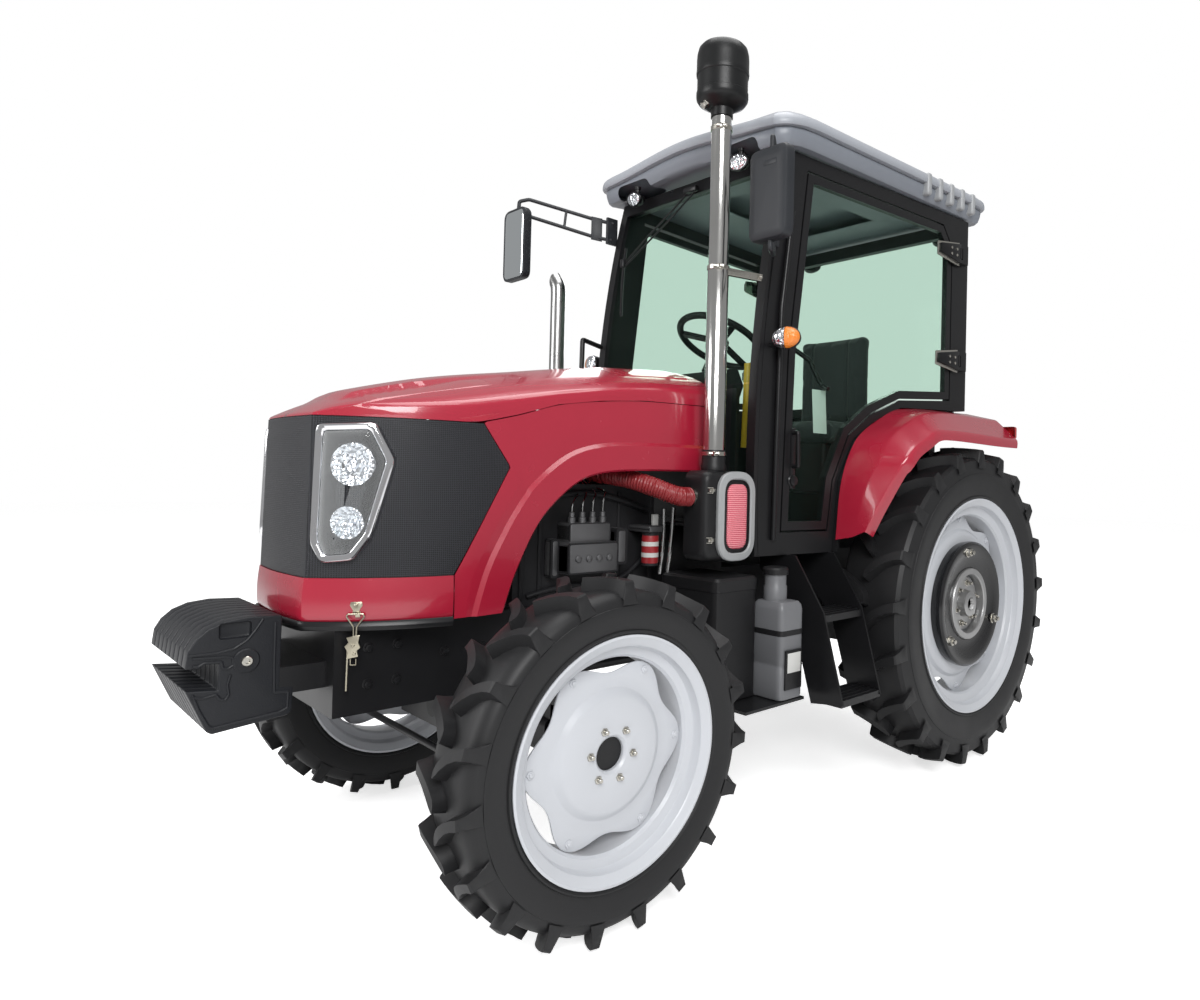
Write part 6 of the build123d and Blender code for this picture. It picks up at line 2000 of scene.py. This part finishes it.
def fender_form(u, v):
    across = min(1.0, v / 0.86)
    lines = [(share, *along(rows, u)) for share, rows in fender_lines]
    y, z = straight(lines, across)
    outside = 0.812
    if z < 1.352:
        outside = min(outside, 0.672 + 0.14 * (z - 1.0) / 0.352)
    x = 0.5555 + (outside - 0.5555) * across
    if v > 0.86:
        # the lip rolls down towards the axle
        roll = (v - 0.86) / 0.14
        axle = Vector((y - 0.940, z - 0.708))
        drop = 0.040 * (1 - math.cos(roll * math.pi / 2)) + 0.006 * roll
        axle *= 1 - drop / axle.length
        y, z = axle.x + 0.940, axle.y + 0.708
        x += min(0.013, 0.826 - outside if outside > 0.8 else 0.006) * math.sin(roll * math.pi / 2)
    return x, y, z


shaped_grid(90, 36, fender_form, wall=0.004)
finish_pair("left_fender_skin", 32, red_paint, "chassis", "body_red", "fender_left")
lamp_red = coated("lamp_red", (0.45, 0.012, 0.014), 0.12, grain=120, relief=0.08, coat=0.6)
ringed(
    rectangle(0.696, 1.470, 0.808, 1.530), 0.012, [(0, 1.2755), (0, 1.294), (0.004, 1.299), (0.016, 1.302)],
    lambda across, height, out: (across, out, height), steps=60,
)
finish_pair("left_rear_lamp", 35, lamp_red, "chassis", "lamp_red", "rear_lamps")

# ---------------------------------------------------------------- tanks, battery box and steps
# Blow-moulded and bent-sheet parts on the carriers beside the clutch housing: the grey fluid tank with
# its blank plate, the black battery box, the fuel tank, and the steps with folded treads.
tank_grey = coated("tank_grey", (0.135, 0.138, 0.146), 0.38, grain=200, relief=0.06, darker=0.92)
plate_white = coated("blank_plate", (0.60, 0.60, 0.58), 0.45, grain=120, relief=0.02)
tank_plan = rectangle(0.516, -0.253, 0.664, -0.127)


def on_plan(x, y, z):
    return x, y, z


rows = [
    (0.010, 0.4605), (0.002, 0.464), (0, 0.474), (0, 0.575), (0.0025, 0.579), (0.0025, 0.590), (0, 0.594),
    (0, 0.780), (0.004, 0.797), (0.014, 0.808), (0.030, 0.811),
]
tank = ringed(tank_plan, 0.024, rows, on_plan, steps=80)
neck = turned(
    (0.580, -0.195, 0.808), (0, 0, 1), [(0, 0.043), (0.050, 0.043), (0.056, 0.040), (0.097, 0.040)], 40,
)
finish("fluid_tank_body", 35, tank_grey, "chassis", "grey_plastic", "fluid_tank", of=(tank, neck))
cap = turned(
    (0.580, -0.195, 0.903), (0, 0, 1), [(0, 0.047), (0.018, 0.048), (0.025, 0.044), (0.0265, 0.036)], 20,
)
holder = slab(
    [(0.6655, -0.236, 0.640), (0.6655, -0.144, 0.640), (0.6655, -0.144, 0.500), (0.6655, -0.236, 0.500)],
    (0.006, 0, 0), 0.002,
)
strap = ringed(
    [(0.5145, -0.1255), (0.6655, -0.1255), (0.6655, -0.2545), (0.5145, -0.2545)], 0.025,
    [(0.0012, 0.690), (0, 0.691), (0, 0.709), (0.0012, 0.710)], on_plan, steps=80, cap=False,
)
finish("fluid_tank_cap_and_strap", 30, black_plastic, "chassis", "black_plastic", of=(cap, holder, strap))
plate = slab(
    [(0.6718, -0.226, 0.630), (0.6718, -0.154, 0.630), (0.6718, -0.154, 0.560), (0.6718, -0.226, 0.560)],
    (0.0012, 0, 0), 0.0004,
)
finish("blank_tank_plate", 30, plate_white, "chassis", "grey_plastic")
rows = [
    (0.012, 0.4605), (0, 0.466), (0, 0.850), (-0.004, 0.852), (-0.004, 0.888), (0.004, 0.898),
    (0.020, 0.9005),
]
ringed(rectangle(0.259, -0.468, 0.551, -0.262), 0.018, rows, on_plan, steps=80)
finish("battery_box_body", 30, black_plastic, "chassis", "black_plastic", "battery_box")
dress(black_paint, "steps_left", "steps_right")
ridges = []
for inner, outer, z in ((0.560, 0.700, 0.750), (0.650, 0.790, 0.455)):
    for k in range(5):
        x = inner + 0.018 + k * (outer - inner - 0.036) / 4
        ridges.append(block((x - 0.004, -0.052, z - 0.001), (x + 0.004, 0.180, z + 0.005), 0.002, 2))
finish_pair("left_step_treads", 30, black_paint, "chassis", "black_steel", of=ridges)

# ---------------------------------------------------------------- hitch
# Forged arms, rods and links of the three-point hitch at the rear, painted black, with the drawbar.
dress(cast_black, "drawbar", "lift_arms")
dress(black_paint, "lift_rods", "lower_links", "top_link")
